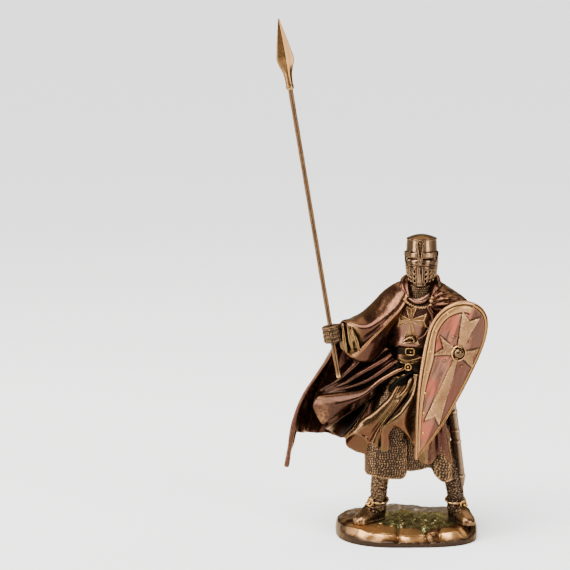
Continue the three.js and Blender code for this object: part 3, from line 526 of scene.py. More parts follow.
spear_finish = finish_of(
    "spear_bronze", (12, 6, 3), (70, 46, 27), (200, 152, 96), roughness=0.24, wear=0.7, dirt=1.2, mottle=0.3,
    marks={"groove": (16, 9, 5)},
)
blade_finish = finish_of(
    "spear_blade_bronze", (20, 11, 5), (98, 68, 36), (214, 168, 104), roughness=0.2, wear=0.5, dirt=0.3,
    mottle=0.1, bump=0.12,
)
boot_finish = finish_of(
    "boot_bronze", (7, 5, 3), (48, 35, 23), (150, 114, 78), roughness=0.28, wear=0.8, dirt=0.9, mottle=0.6,
    marks={"toe": (104, 76, 48)},
)
rock_finish = finish_of(
    "plinth_bronze", (10, 6, 4), (76, 50, 30), (196, 148, 92), tint=(96, 64, 34), roughness=0.32, bump=0.4,
    marks={"flank": (46, 32, 21), "lobe": (176, 128, 76), "moss": (116, 116, 70), "bare": (122, 118, 108)},
    streaks=((46, 30, 18), 0, 6), dirt=0.9,
)
CLOTH_PIECE = ("knight", "cloak_bronze")
MAIL_PIECE = ("knight", "mail_bronze")
STRAP_PIECE = ("knight", "strap_bronze")
GOLD_PIECE = ("knight", "fitting_gold")
print("materials so far, with those of the solids:", len(bpy.data.materials))

# %% [markdown]
# ## Cloak
# The cloak is one piece of cloth over both shoulders. Cloth simulation would drape it, but a sculptor placed
# these folds, so they are laid one by one. Each guide below runs over the shoulder: from the front edge, up
# across the arm, down the back and to the hem. Ridges and valleys take turns, so the rows between them fold.

# %% The cloak over the right arm and down the back
CLOTH = 1.7
STEP = 0.8
CLOAK_OVER_ARM = points("""
    -1.8 -11.5 153.9, -2.4 -10.2 154.6, -3.2 -10.6 155.2, -3.4 -8 157.6, -1 1 161.6;
    -3.6 -14 149.6, -4.3 -12.2 149.9, -5.2 -13.2 150.2, -8.2 -10.6 153.6, -9.5 0 158.5;
    -7.1 -16.6 144.9, -7.4 -14 145.6, -8.2 -15.2 146.6, -13 -11.4 149, -17 1 152.5;
    -13.7 -18.5 138.2, -13.2 -15.2 139.8, -13.8 -16.8 141.6, -18.4 -12 144, -23 2 145.6;
    -20.9 -19.2 130.6, -19.6 -15.2 133.4, -19.6 -17.4 137.4, -24.4 -12.2 139.4, -29 2 140.4;
    -26.9 -19.2 124.2, -25.2 -15.2 128.4, -25.2 -17.8 134.3, -28.6 -12.4 137.2, -33.4 0.5 138.2;
    -31.5 -18.6 119.4, -30 -14.4 125, -30.6 -16.6 134.2, -32.8 -11.8 136.8, -37 -1.5 136.9;
    -35.5 -17 116.5, -33.8 -13.8 124, -35 -14.4 135.6, -36.6 -10.4 137.3, -40 -4 136.6;
    -38.4 -13 117.6, -38 -11.2 125, -39.4 -11.6 136.4, -40.6 -8.8 137.1, -42 -6 136.2
""")
CLOAK_DOWN_BACK = points("""
    0.6 10 156, 0.6 24 82, -1 27 44;
    -9 9.5 152, -10.8 31 82, -14 35 46;
    -17.5 11 145, -21.5 26 82, -27 28 49;
    -25 12 138, -32 33 80, -39 35 54;
    -32 12 133, -42 26 80, -50 30 58;
    -37 9 132, -51 29 81, -60 24 60;
    -40 7 131, -58 24 83, -66 16 61.5;
    -43 3 126, -64 13.5 84, -71 6 62.4;
    -47.4 -2 117.2, -68.2 2 82, -76.2 0 43
""")
CLOAK_LEFT = points("""
    -1 1 161.6, 0.6 10 156, 0.6 24 82, -1 27 44;
    10 8.4 162.6, 10.4 12 152, 11.4 29 82, 12 33 43;
    20 5 159.4, 19.6 11 150, 19.6 26 82, 20 30 43;
    29 2 154, 27.6 8 146, 26.6 21 84, 25 23 46;
    36 -1 148.4, 34 5 140, 31 13 104, 25.5 15 52
""")
CLOAK_RIGHT = np.concatenate([CLOAK_OVER_ARM, CLOAK_DOWN_BACK], axis=1)


def pleated(guides, count, depth, start):
    """Cloth with soft pleats down it, deeper towards the hem."""
    grid = cloth_grid(guides, STEP)
    down, across = np.meshgrid(np.linspace(0, 1, len(grid)), np.linspace(0, 1, len(grid[0])), indexing="ij")
    fall = np.clip((down - start) / (1 - start), 0, 1) ** 1.3
    wander = 0.35 * np.sin(5.2 * down + 2.4 * across)
    return grid + outward(grid) * (depth * fall * np.sin(TAU * (count * across + wander)))[..., None]


cloak_right = pleated(CLOAK_RIGHT, 6.5, 1.1, 0.45)
cloak_left = pleated(CLOAK_LEFT, 3.5, 1.0, 0.2)
print("cloak grid:", cloak_right.shape, cloak_left.shape)

# %% [markdown]
# ## The turned edge
# The front edge of the cloak turns back inwards over the raised arm and shows its lining. A turned edge could
# be rolled with a modifier. A second cloth that starts on the same edge gives the deep dark pocket under it.

# %% The turned edge
TURN_LOW = points("""
    -2 -8.5 151.4, -4 -10.5 147, -6.8 -12 141.8, -12.2 -12.8 134, -17.2 -13 126, -21 -13.6 118.4, -25.6 -14.6 113.6,
    -31.4 -15.2 113.6, -37.2 -11.5 115.4
""")
TURN_INSIDE = points("""
    -1.4 -4 152.4, -3.2 -5 149, -5 -5 143.6, -9 -4 137.4, -12.4 -4 129, -15.4 -4 120.6, -20 -5 115, -28 -6.4 114,
    -36 -7 116.4
""")
lip_line = CLOAK_OVER_ARM[:, 0]
cloak_turn = cloth_grid(np.stack([lip_line, TURN_LOW, TURN_INSIDE], 1), STEP)
print("the lip runs from", lip_line[0], "to", lip_line[-1])

# %% [markdown]
# ## Blown folds
# Wind lifts the cloth at the right hip into long folds that end in a turned hem, with a split tongue below.
# Each guide is one ridge or one valley, and its depth is the step between neighbours.

# %% The blown folds
CLOAK_BLOWN = points("""
    -16 -2 124, -24.7 -4 121.1, -32.4 -1 116, -41.1 3 106, -48.8 7 95.5, -57 9 90.6;
    -17 -5 122, -24.3 -8 117.9, -30.4 -10 113.1, -36.5 -11 107.2, -45.5 -8.5 98.8, -55 -1 92;
    -12 -4 118.5, -19.3 -7 115.1, -27 -6 111, -34.1 -5 105.2, -43 -3 97.6, -55.6 3 89.6;
    -11 -8 116.5, -16.1 -11 113.1, -23.4 -13.6 109.2, -30.6 -14.4 105.2, -40 -12.6 98.8, -53 -4 91.8;
    -9 -7 113, -13.8 -9 110.4, -21.4 -8 105.8, -29.4 -7 100.8, -40.2 -6 94.6, -53 -2 90.6;
    -7 -10.4 113, -11.7 -12.6 110.8, -19.4 -14.6 105.4, -27.4 -15.4 100.6, -38.1 -13.2 96.2, -53 -6 91;
    -5 -10 110.4, -8.8 -10.6 107.9, -18.2 -9 101.4, -27.6 -8 96.2, -39.1 -7 92.8, -54.6 -5 89.2;
    -1.5 -12.8 108.8, -8 -14 106.7, -18 -15.4 101.4, -28.8 -16 94.5, -42.6 -15 91.9, -57 -11.6 89.4;
    -2.2 -12 107.4, -8.6 -13 104.7, -18.6 -15.4 99.5, -30 -18.4 91.4, -44 -18.6 87.2, -59.4 -12 85.6;
    -3.6 -11 106.2, -10 -11.2 102.8, -19.6 -12.2 97.2, -31 -13.8 89.8, -44 -14.2 80, -53.8 -11.4 73.2;
    -3 -7 105.4, -9 -7 102.2, -18 -7.6 97.4, -28 -8 91.8, -40 -8 84.6, -51.4 -8 79.6
""")
TONGUE = points("""
    -18 -1 92.6, -24 -4.6 88.2, -32 -7.2 83, -41 -8 77.2, -52.4 -7.4 69.4;
    -19 1 91, -25 0 84.6, -31.4 1 78.6, -38 3 72.6, -47.4 5 64.6;
    -20 1 90, -25 0.4 82.6, -29.6 2 75, -35 5 67.6, -42 8 60;
    -20.6 -1 89.6, -25.2 -4 84.6, -28.3 -6.2 79.4, -31.2 -7 74.2, -34.8 -8.4 68.8
""")
BLOWN_EDGE = CLOAK_BLOWN[7]
TONGUE_EDGE = TONGUE[-1]
cloak_blown = cloth_grid(CLOAK_BLOWN, 0.6)
tongue = cloth_grid(TONGUE, 0.6)
print("blown folds:", cloak_blown.shape, "tongue:", tongue.shape)

# %% [markdown]
# ## Sleeve, pleats and collar
# A fan of pleats runs from the clasp over the left shoulder, a rolled collar lies round the neck, and a short
# sleeve hangs round the wrist. The pleats repeat, so a loop works out their guides. The collar is round and
# is built as a limb, and thin rolls stiffen the edges of the cloth, as a hem does.

# %% The sleeve, the pleats at the clasp and the collar
CLASP = np.array([12.6, -14.6, 150.0])
LEFT_PLEATS = 4
LEFT_SHOULDER = points("17 -1 161.5, 25 -1 156, 32 -1 151.5, 38 -3 145, 39 -5 133")
COLLAR = points("""
    -2.2 -11.5 152.5, -4.4 -6 158.6, -2.2 2 162.4, 6.5 8 163.6, 15.4 4 163.6, 17 -4 160.6, 14.4 -10.6 155,
    12 -14.6 150
""")
COLLAR_INSIDE = points("""
    -0.6 -11.8 152.6, -1.6 -6.4 159.2, 0.2 0.4 163, 6.5 5.4 164, 13.2 2.4 164, 14.6 -4 161, 12.8 -10 155.4
""")
SLEEVE = points("""
    -43.4 -6 134.6, -43 -8 128, -42.4 -9 120.4;
    -41.6 -10.6 136.2, -39.6 -14 129, -39.2 -13 118;
    -39.4 -8.6 135.4, -37.4 -8 127, -37 -8 117;
    -37.9 -12.4 136.4, -35.2 -15.4 128.4, -32.2 -15.2 119.4;
    -35.8 -9.6 135, -32.4 -11 127, -30 -10 119
""")
LOWER_PLEAT = points("10.6 -16.2 147.6, 13.6 -16.8 142.6, 14.4 -16 136.4, 13 -14 130")


def pleats_at_clasp():
    guides = []
    for k in range(2 * LEFT_PLEATS + 1):
        share, crest = k / (2 * LEFT_PLEATS), (-1) ** k
        top = smooth_line(LEFT_SHOULDER, np.array([share * (len(LEFT_SHOULDER) - 1)]))[0]
        end = CLASP + [0.4, 0, 3.4 - 7.4 * share]
        between = top + 0.55 * (end - top) + np.array([1.2, -4.6, 1.6]) * (1 + 0.3 * crest)
        guides.append([top + [0, 5, -4], top, between, end + [0, -0.8 * crest, 0]])
    return guides


folded = [
    slab(cloak_turn, CLOTH), slab(cloak_blown, CLOTH), slab(tongue, 1.3),
    slab(cloth_grid(pleats_at_clasp(), 0.6), CLOTH), slab(cloth_grid(SLEEVE, 0.6), 1.4),
    limb(COLLAR, [1.4, 2.1, 2.3, 2.1, 1.2], 0.7), limb(COLLAR_INSIDE, [0.9, 1.3, 1.5, 1.3, 0.9], 0.7),
    limb(LOWER_PLEAT, [1.2, 1.6, 1.8, 1], 0.7),
    rolled(lip_line + [0, -0.2, 0], [0.6, 0.8, 0.8, 0.7]), rolled(TONGUE_EDGE, [0.5, 0.7, 0.7, 0.6]),
    rolled(BLOWN_EDGE, [0.5, 0.7, 0.8, 0.9, 0.9]),
    rolled(points("-41.2 -13 134.6, -40.4 -15.2 126, -39 -15.4 118.4"), [0.7, 1.3, 1.5, 1.0]),
    rolled(points("-38.6 -15 135.4, -37.2 -16.8 128.6, -35.4 -17.2 121"), [0.6, 1.2, 1.5, 0.9]),
    rolled(points("-36.2 -15.8 134.8, -33.7 -17.4 128.2, -31.4 -18.6 120.6"), [0.6, 1.1, 1.4, 0.9]),
]
print("parts of the front:", len(folded))

# %% [markdown]
# ## Casting the cloak
# The back and the front are cast apart, because the front needs a finer voxel for its narrow folds. Waves of
# no clear direction then move both skins a little. Without them the wax looks machine made.

# %% Casting the cloak
def hand_modelled(mesh, depth, length, seed):
    """Gives a mesh the faint unevenness of wax that was modelled by hand."""
    rng = np.random.default_rng(seed)
    where = corners_of(mesh)
    lift = np.zeros(len(where))
    for _ in range(9):
        way = rng.normal(size=3)
        way *= TAU / (length * rng.uniform(0.6, 1.6)) / np.linalg.norm(way)
        lift += np.sin(where @ way + rng.uniform(0, TAU))
    push(mesh, depth * lift / 3)
    return mesh


back_edge = rolled(CLOAK_RIGHT[-1][4:], [0.8, 0.9, 1.1, 1.5, 1.7])
back = cast_together("cloak", [slab(cloak_right, CLOTH), slab(cloak_left, CLOTH), back_edge], 0.62, 4, 0.46)
front = cast_together("cloak_folds", folded, 0.46, 3, 0.5)
put_down("cloak", hand_modelled(back, 0.14, 13, 1), *CLOTH_PIECE, cloak_finish)
put_down("cloak_folds", hand_modelled(front, 0.1, 11, 2), *CLOTH_PIECE, cloak_finish)

# %% [markdown]
# ## Gilding and painted highlights
# The cloth round the wrist is rubbed to gold, and so is the thin edge of the lower tongue. A second material
# would show a hard border. A mark on the corners fades the gold in and out instead. Another mark is a painted
# highlight: it brightens the lips of the cloth and a few spots on the shoulders, the arm and the blown folds.

# %% The gilt cuff
# Spots that get a painted highlight: their x and z, width, height and strength.
RUBBED_PLACES = [(-13, 150.5, 8, 7, 0.6), (-54, 79, 3.4, 7, 0.9), (22.5, 152.5, 6, 3.5, 0.7), (-19, 144, 5, 5, 0.6)]


def gap_to(at, *lines):
    """How far each point is from the nearest of some smooth lines."""
    gap = np.full(len(at), 99.0)
    for line in lines:
        for point in smooth_line(line, np.linspace(0, len(line) - 1, 60)):
            gap = np.minimum(gap, np.linalg.norm(at - point, axis=1))
    return gap


for name in ("cloak", "cloak_folds"):
    at = corners_of(pieces[name]) / MM
    x, y, z = at.T
    on_folds = name == "cloak_folds"
    gilt = np.exp(-((((x + 37) / 7) ** 2 + ((z - 126) / 10.5) ** 2) ** 2)) * (y < -6)
    gilt = np.maximum(gilt, on_folds * np.clip(1.6 - gap_to(at, TONGUE_EDGE[1:]), 0, 1))
    # Painted highlight along the lips of the cloth and, below, on the listed spots.
    lip = np.clip(1.75 - gap_to(at, lip_line, BLOWN_EDGE) / 0.8, 0, 1)
    brushed = 0.5 + 0.5 * np.sin(1.3 * x + 0.9 * z + 2 * np.sin(0.7 * z)) * np.sin(0.8 * x - 1.1 * z)
    for middle_x, middle_z, wide, tall, much in RUBBED_PLACES:
        spot = np.exp(-(((x - middle_x) / wide) ** 2) - ((z - middle_z) / tall) ** 2)
        lip = np.maximum(lip, much * spot * brushed * (y < 2))
    # The mark low paints shade on the lower folds, darker towards the bottom.
    mark(pieces[name], gilt=gilt, low=np.clip((112 - z) / 10, 0, 1) * on_folds * (1 - gilt), lip=lip)
    print(name, "gilded corners:", int((gilt > 0.5).sum()))

# %% [markdown]
# ## Surcoat
# The surcoat is the trunk with a skirt that flares into deep folds. One fold opens at the front like a
# trumpet, and the next one lifts into an arch over the mail. The trunk is a stack of rings, the skirt is one
# ring of guides, and rolls thicken the rims.

# %% Guides of the surcoat
TORSO_TURN = -14
HIP_TURN = -8
TRUNK = [
    (96, 3.6, 0.6, 15.5, 12.6, -6), (108, 3.2, 0.2, 14.6, 12, HIP_TURN), (116, 2.8, 0, 13.2, 10.8, TORSO_TURN),
    (119.6, 2.8, 0, 13.2, 10.8, TORSO_TURN), (122.4, 3, -0.3, 15.0, 12.5, TORSO_TURN),
    (128, 3.2, 0, 15, 12.2, TORSO_TURN), (138, 3.8, 0, 17.2, 13.4, TORSO_TURN),
    (147, 4.4, 0.4, 18.6, 12.2, TORSO_TURN), (153, 5.2, 0.8, 15.5, 9.6, TORSO_TURN), (157, 6, 0.8, 9, 7.4, TORSO_TURN),
]
FRONT_FOLDS = points("""
    -5 -10 103, -8 -11 96, -11 -11.5 88, -15 -11 79, -20 -10 67, -25.4 -10 52.8;
    -5 -11 103.5, -9 -12 96, -13 -12.5 87.5, -19 -12 79, -26 -10.5 68, -31.8 -9.4 54.6;
    -5 -12 104, -9.4 -13.4 96, -14 -14.4 87.4, -22 -13.6 79, -31 -11.6 69, -38.2 -10.6 58.6;
    -4.6 -13 104.4, -9.4 -15.2 96, -14.2 -16.6 87, -22.6 -16.8 79.4, -33 -14.6 71, -39.4 -13.4 62.8;
    -3.6 -14 104.6, -8 -17 96, -12 -18.2 88.4, -20.4 -20.2 80.4, -29.4 -20.4 74, -36.4 -17.2 67.6;
    -2 -14.4 104.8, -5.4 -16 96, -9.6 -17.6 88, -16.8 -20 79.4, -24.4 -21.4 72.8, -30.5 -20.6 68.2;
    -0.6 -14.6 105, -3.2 -16.4 96, -7.4 -17.2 88, -14.6 -19 79, -21 -20.2 71, -25.8 -20.6 63;
    0.8 -15 105, -1.6 -18.4 96.6, -6.4 -19 89.4, -13.4 -21 80, -19.6 -23.4 71, -23 -24.2 63.2;
    1.8 -14.8 105, -0.4 -17.4 96.4, -4.6 -18.2 88.6, -11.4 -20.2 79.6, -17.4 -22 69.6, -20.2 -23.2 60.6;
    2.6 -14.6 105, 0.8 -16 96, -2.6 -16.4 88, -9.4 -17.6 80, -15.8 -18.8 70.4, -18.4 -20 60;
    3.2 -14.8 105, 1.8 -17.4 96.4, -1.2 -19.4 88.4, -7.8 -21.4 81, -15.6 -23.6 71, -16.6 -24.2 58.2;
    3.6 -14.8 105, 2.4 -17.8 96.4, -0.2 -20.2 89, -6.6 -22.4 82, -15.2 -24.4 73, -13.2 -23.2 58.8;
    4 -14.8 105, 2.8 -18 96.6, 0.4 -20.6 89.6, -5.2 -22.8 83, -14 -24.6 75, -12.8 -22.8 69;
    4.4 -15 104.8, 3.2 -18.6 97.2, 1.5 -21.4 91, -3.4 -23.4 84.6, -11 -24.8 76.2, -10 -22.8 73.4;
    5 -15 104.8, 4.2 -18 96.6, 3 -20.4 90, -0.4 -22.2 83, -7.4 -24.6 75.6, -6.8 -22.8 73.4;
    5.8 -14.8 104.8, 5.4 -17 96, 4.8 -18.6 88, 2 -20 80.6, -4 -24 72.9, -3.6 -22.6 70.8;
    6.6 -14.6 104.8, 6.6 -16 95, 6.6 -17 85, 4.4 -18 76, -0.6 -22.5 68.6, -0.2 -21 66.4;
    7.6 -14.2 104.8, 8 -15.8 94, 8.4 -16.8 82, 6.8 -17.6 73, 1.8 -20.5 64.6, 2.2 -19.6 62.4;
    8.8 -13.8 104.8, 9.6 -15.4 93, 10.2 -16 80, 9.6 -16.4 68, 7.6 -16.8 58, 6.4 -16.2 50.4;
    11 -12.8 104.8, 12.4 -15 92, 13.6 -17.6 79, 13.8 -19 68, 13.4 -20 58, 12.4 -20.4 49.4;
    13 -11.4 105, 15 -13.2 92, 16.8 -14 79, 17.8 -14 68, 18.4 -14.4 60, 19 -14.6 54.4;
    14.8 -9 105, 17.6 -11.8 92, 20.4 -14 78, 22.4 -14.6 66, 24 -14.6 57, 25.6 -14.2 48.8;
    16.4 -5.6 105.4, 19 -7 92, 22 -8 78, 24 -8.2 66, 25.6 -8 58, 27.2 -7.6 50;
    17.2 -1.4 106, 19.6 -1 93, 22 -0.6 79, 23.6 0 68, 24.8 0.6 60, 25.6 1 53;
    16 5 107, 18.6 6.4 93, 20.6 7.6 80, 22 8.6 69, 23 9.2 61, 23.6 9.6 54;
    11 9.5 108, 14 13 94, 16.6 16 80, 18.6 18.4 68, 19.8 20 60, 20.5 21 52;
    3 11 108, 3.4 14.4 94, 3.8 17 80, 4 18.8 68, 4 19.6 60, 4 20 52;
    -5 9.5 108, -7.4 13 94, -10 16 80, -12 18.2 68, -13 19.4 60, -14 20 54;
    -10 4.5 108, -13 7 94, -17 8 81, -20.4 8.2 70, -22.4 8.2 63, -24 8 56;
    -11 0.5 107, -14 1 95, -18 0.4 83, -22 -0.4 72, -25 -0.8 64, -27 -1 58
""")
ARCH_RIM = points("""
    -16.8 -24.2 60, -16.8 -24.4 65.5, -16.9 -24.4 70.5, -15 -24.6 74.2, -11.4 -24.8 76, -7.6 -24.6 75.4,
    -4.2 -24 72.6, -0.8 -22.6 68.4, 1.6 -20.8 64.7
""")
MOUTH_RIM = points("""
    -31.8 -9.6 54.8, -38 -10.6 58.8, -39.2 -13.2 62.6, -38.5 -15.4 65.2, -34.3 -18.4 68.4, -30.5 -20.4 68,
    -27.2 -21.4 66, -25.4 -21.2 62.4
""")
RIDGE_A = points("""
    -6.2 -16 99.1, -8.5 -17.4 95.4, -11.5 -18.4 88.9,
    -16.7 -19.6 83.5, -22.3 -20.6 78.7, -27.8 -20.8 75.3, -33 -19.2 70.6
""")
RIDGE_B = points("2 -15.6 104, 1.2 -17 102, -0.8 -18.6 96.8, -4.1 -19 92.4, -9.6 -18.9 88.9")
RIDGE_C = points("4.2 -15 104, 3.2 -18.6 97.2, 1.5 -21.4 91, -3.4 -23.4 84.6, -8.4 -24.4 78.6")
CHEST_FOLDS = [
    ("4.8 -15.4 126.8, 8.4 -15.6 129, 11.2 -15 132.8, 13.4 -14 138", [0.5, 0.6, 0.6]),
    ("-4.6 -15 125.2, -1.6 -15.9 127.6, 1 -16.3 128, 2.8 -15.8 126, 0.6 -15.8 124.9", [0.4, 0.55, 0.4]),
    ("-7 -12.6 114.6, -3 -13.6 113.2, 2 -13.4 113.4, 8 -12.6 115", [0.8] * 3),
    ("-6 -12.2 112, -2 -13.6 111.4, 4 -13.8 112.2, 9 -12.6 113", [0.8] * 3),
    ("-1.2 -10.2 151.6, 3.4 -12.2 149.4, 8.4 -12 149.8, 12.6 -9.4 152.2", [1.2] * 3),
]
print("guides and knots of the skirt:", FRONT_FOLDS.shape[:2])

# %% [markdown]
# ## Casting the surcoat
# Trunk, skirt and rolls are cast together, which gives the soft joins that poured bronze has. Three marks vary
# its colour: the skirt is rosier at its left, the chest is paler, and the long ridges get a painted highlight.

# %% The surcoat
skirt_parts = [
    skin(body_rings(TRUNK, 0.7, 2.3)), slab(cloth_grid(FRONT_FOLDS, 0.6), 1.5),
    rolled(ARCH_RIM, [1.2, 1.3, 1.0, 0.8, 0.6, 0.5]), rolled(MOUTH_RIM, [0.6, 0.7, 0.9, 0.9, 0.7]),
    rolled(RIDGE_A + [0, 2.3, 0], [1.2, 2.3, 3.0, 3.0, 2.2]), rolled(RIDGE_B + [0, 1.8, 0], [1.0, 2.0, 2.4, 1.6]),
    rolled(RIDGE_C + [0, 1.7, 0], [0.9, 1.8, 2.3, 2.2, 1.3]),
]
skirt_parts += [rolled(points(line), radii) for line, radii in CHEST_FOLDS]
surcoat = hand_modelled(cast_together("surcoat", skirt_parts, 0.46, 3, 0.42), 0.1, 10, 3)
put_down("surcoat", surcoat, *CLOTH_PIECE, surcoat_finish)
at = corners_of(surcoat) / MM
# The mark near the long ridges paints a highlight along them.
mark(
    surcoat,
    rose=np.clip((at[:, 0] - 9) / 4, 0, 1) * (at[:, 2] < 100),
    chest=np.clip((at[:, 2] - 119) / 3, 0, 0.85),
    ridge=np.clip(1.7 - gap_to(at, RIDGE_A, RIDGE_B, RIDGE_C) / 1.7, 0, 1),
)

# %% [markdown]
# ## Mail
# Mail is rows of small rings, each row leaning against the one before. Whole rings are far too fine to link,
# and a bump map alone would look flat from the side. So a height map of leaning rings lifts the mesh itself
# by about a third of a millimetre.

# %% Rings of mail as relief
MAIL_PITCH = 1.3


def mail_relief(across, down):
    """Height of the mail from 0 to 1, where across and down are counted in rings."""
    row = np.floor(down)
    lean = np.where(row % 2 < 1, 1.0, -1.0)
    shifted = across + 3.7 * np.modf(np.abs(np.sin(row * 3.17 + 0.4)) * 91.3)[0]
    x, y = shifted % 1 - 0.5, down - row - 0.5
    chance = np.modf(np.abs(np.sin(row * 12.99 + np.floor(shifted) * 78.23)) * 4375.85)[0]
    link = np.exp(-(((x - 0.4 * lean * y) / 0.32) ** 2))
    return link * np.clip(1.1 - (2.1 * np.abs(y)) ** 3, 0, 1) * (0.55 + 0.75 * chance)


def running(steps):
    return np.concatenate([[0], np.cumsum(steps)])


def mail_sheet(guides):
    """A hanging flap of mail. Its guides run clockwise, seen from above, so that its rings face out."""
    grid = cloth_grid(guides, 0.46)
    rows, sides = (np.linalg.norm(np.diff(grid, axis=k), axis=-1).mean(1 - k) for k in (0, 1))
    across, down = np.meshgrid(running(sides) / MAIL_PITCH, running(rows) / MAIL_PITCH)
    drift = 0.22 * np.sin(across * 0.9 + down * 0.35)
    return slab(grid, 1.3, relief=0.42 * mail_relief(across, down + drift))


def mail_body(rings):
    """Skins rings with mail on them, a whole number of links round."""
    rows = np.linalg.norm(np.diff(rings, axis=0), axis=-1).mean(1)
    sides = np.linalg.norm(np.diff(rings, axis=1, append=rings[:, :1]), axis=-1).mean(0)
    whole = max(6, round(sides.sum() / MAIL_PITCH))
    lift = mail_relief(*np.meshgrid(running(sides)[:-1] / sides.sum() * whole, running(rows) / MAIL_PITCH))
    out = outward(rings, closed=True)
    out *= np.sign(((rings - rings.mean(1, keepdims=True)) * out).sum())
    return skin(rings + out * (0.34 * lift)[..., None])


print("height of one ring:", mail_relief(np.array([0.1, 0.5]), np.array([0.5, 0.5])).round(2))

# %% [markdown]
# ## Mail skirt and coif
# The mail skirt is slit at the front and hangs in soft waves. It is laid as two flaps that overlap at the
# back. The coif is the collar of mail between the helm and the cloak, and is skinned over four rings.

# %% The two halves of the mail skirt
MAIL_RIGHT_HALF = points("""
    0 -13 103, -1 -14.6 82, -1.8 -15.4 60, -1.7 -15.2 43.2;
    -1.5 -13 103, -4 -15.6 82, -4.4 -16.6 60, -3.7 -16.6 39.8;
    -4 -13 103, -9 -15.6 82, -10 -16.6 60, -9 -17 39.2;
    -7 -12.4 103, -14 -14.4 83, -17 -15.6 60, -16 -16.4 39.8;
    -10.4 -11 103, -19 -11.8 83.5, -23 -12.6 60, -22.6 -14 40.6;
    -12 -7 103, -21 -7 83, -26 -7.5 60, -25.8 -9 41.2;
    -12.5 0 103, -20.5 1 83, -25 1.5 60, -26 1 43;
    -11 7 103, -17 10 83, -20.5 12 60, -22 12.5 43.5;
    -4 11 103, -8 14.4 83, -10 16 60, -11 16.6 43;
    4 12 103, 4 15.4 83, 4 16.6 60, 4 17 42
""")
MAIL_LEFT_HALF = points("""
    2 12 103, 2 15.4 82, 2 16.8 60, 2 17.2 42;
    8 11.4 103, 10 15 82, 11 16.6 60, 12 17 42;
    13 8 103, 17.4 11 82, 20.4 13.6 60, 22 15 43;
    16 2 103, 20.6 3 82, 24 4 60, 26 5 42;
    15.4 -5 103, 19.4 -5.6 82, 23.4 -7 62, 27 -8.4 38.4;
    14 -8.4 103, 19.6 -10.2 82, 24.4 -12.4 62, 25.6 -13.6 37.4;
    12.6 -10 103, 17.4 -12 82, 20.6 -14 62, 21 -15 37;
    11 -11.4 103, 15 -12.4 82, 17.2 -12.8 62, 17 -13.8 40.4;
    9 -12 103, 12 -11.6 82, 13 -10 60, 14 -9.6 44.6;
    5 -12.5 103, 6 -11.4 82, 6 -9.5 60, 6 -8.5 43;
    1 -12 103, 1 -11 82, 0.5 -9.5 60, 0 -8.5 42.5;
    -4 -9 103, -6 -9 82, -7 -8 60, -7 -7 44.5
""")
COIF = [
    (148, 5.5, -0.8, 9.8, 9.4, 0), (154, 6.2, -0.8, 8.8, 9.2, 0), (159, 7.2, -0.6, 8.2, 8.6, 0),
    (162, 7.5, -0.5, 7.4, 7.6, 0),
]
put_down("mail_flap_right", mail_sheet(MAIL_RIGHT_HALF), *MAIL_PIECE, mail_finish)
put_down("mail_flap_left", mail_sheet(MAIL_LEFT_HALF), *MAIL_PIECE, mail_finish)
put_down("mail_coif", mail_body(body_rings(COIF, 0.32)), *MAIL_PIECE, mail_finish)

# %% [markdown]
# ## Legs and boots
# The legs wear mail, which the sculptor dotted in with a tool, and shoes with a smooth toe and a welt. A boot
# is a row of arches set along its sole. Rounded lumps that touch each other stand for the dots, and they come
# from the distance to scattered points, which needs no pattern on the surface.

# %% Legs and boots
GROUND_Z = 9.5
SOLES = [((-18.2, 2.5), (-31.5, -13.5)), ((30, 2), (37.8, -16.5))]
HIPS = [[[-2, 1, 92], [-10, -4, 66], [-16.5, -1, 42]], [[11, 1, 92], [18, -1, 66], [26.6, 0, 42]]]
BOOT_STATIONS = points(
    "-.14 2.6 6, -.06 4.4 12, .12 5.2 14, .4 5.2 11, .72 5.4 7.6, .98 4.4 5.2, 1.1 1.9 3"
)


def on_sole(sole, along, across, up):
    """A point of a boot: along its sole as a share, across it and above the ground."""
    heel, toe = np.array(sole, float)
    forward = unit(toe - heel)
    side = np.array([-forward[1], forward[0]])
    flat = heel + (toe - heel) * along + side * np.asarray(across)[..., None]
    return np.concatenate([flat, (GROUND_Z + np.asarray(up, float))[..., None]], -1)


def pebbles(where, size, seed):
    """Height of rounded lumps of about one size, from 0 to 1, that touch each other all over a surface."""
    rng = np.random.default_rng(seed)
    lows, highs = where.min(0) - size, where.max(0) + size
    spots = rng.uniform(lows, highs, (int(np.prod((highs - lows) / size) * 1.3), 3))
    tree = KDTree(len(spots))
    for i, spot in enumerate(spots):
        tree.insert(spot, i)
    tree.balance()
    gap = np.array([tree.find(point)[2] for point in where])
    return np.clip(1 - (gap / (0.72 * size)) ** 2, 0, 1)


print("the right boot's toe:", on_sole(SOLES[0], 1.0, 0.0, 0.0).round(1))

# %% [markdown]
# ## Casting the legs
# Calf, boot and welt are cast into one skin before the lumps are pushed out of it. The order matters, because
# the remesh would rub out anything smaller than its voxel. The toe and the welt stay smooth.

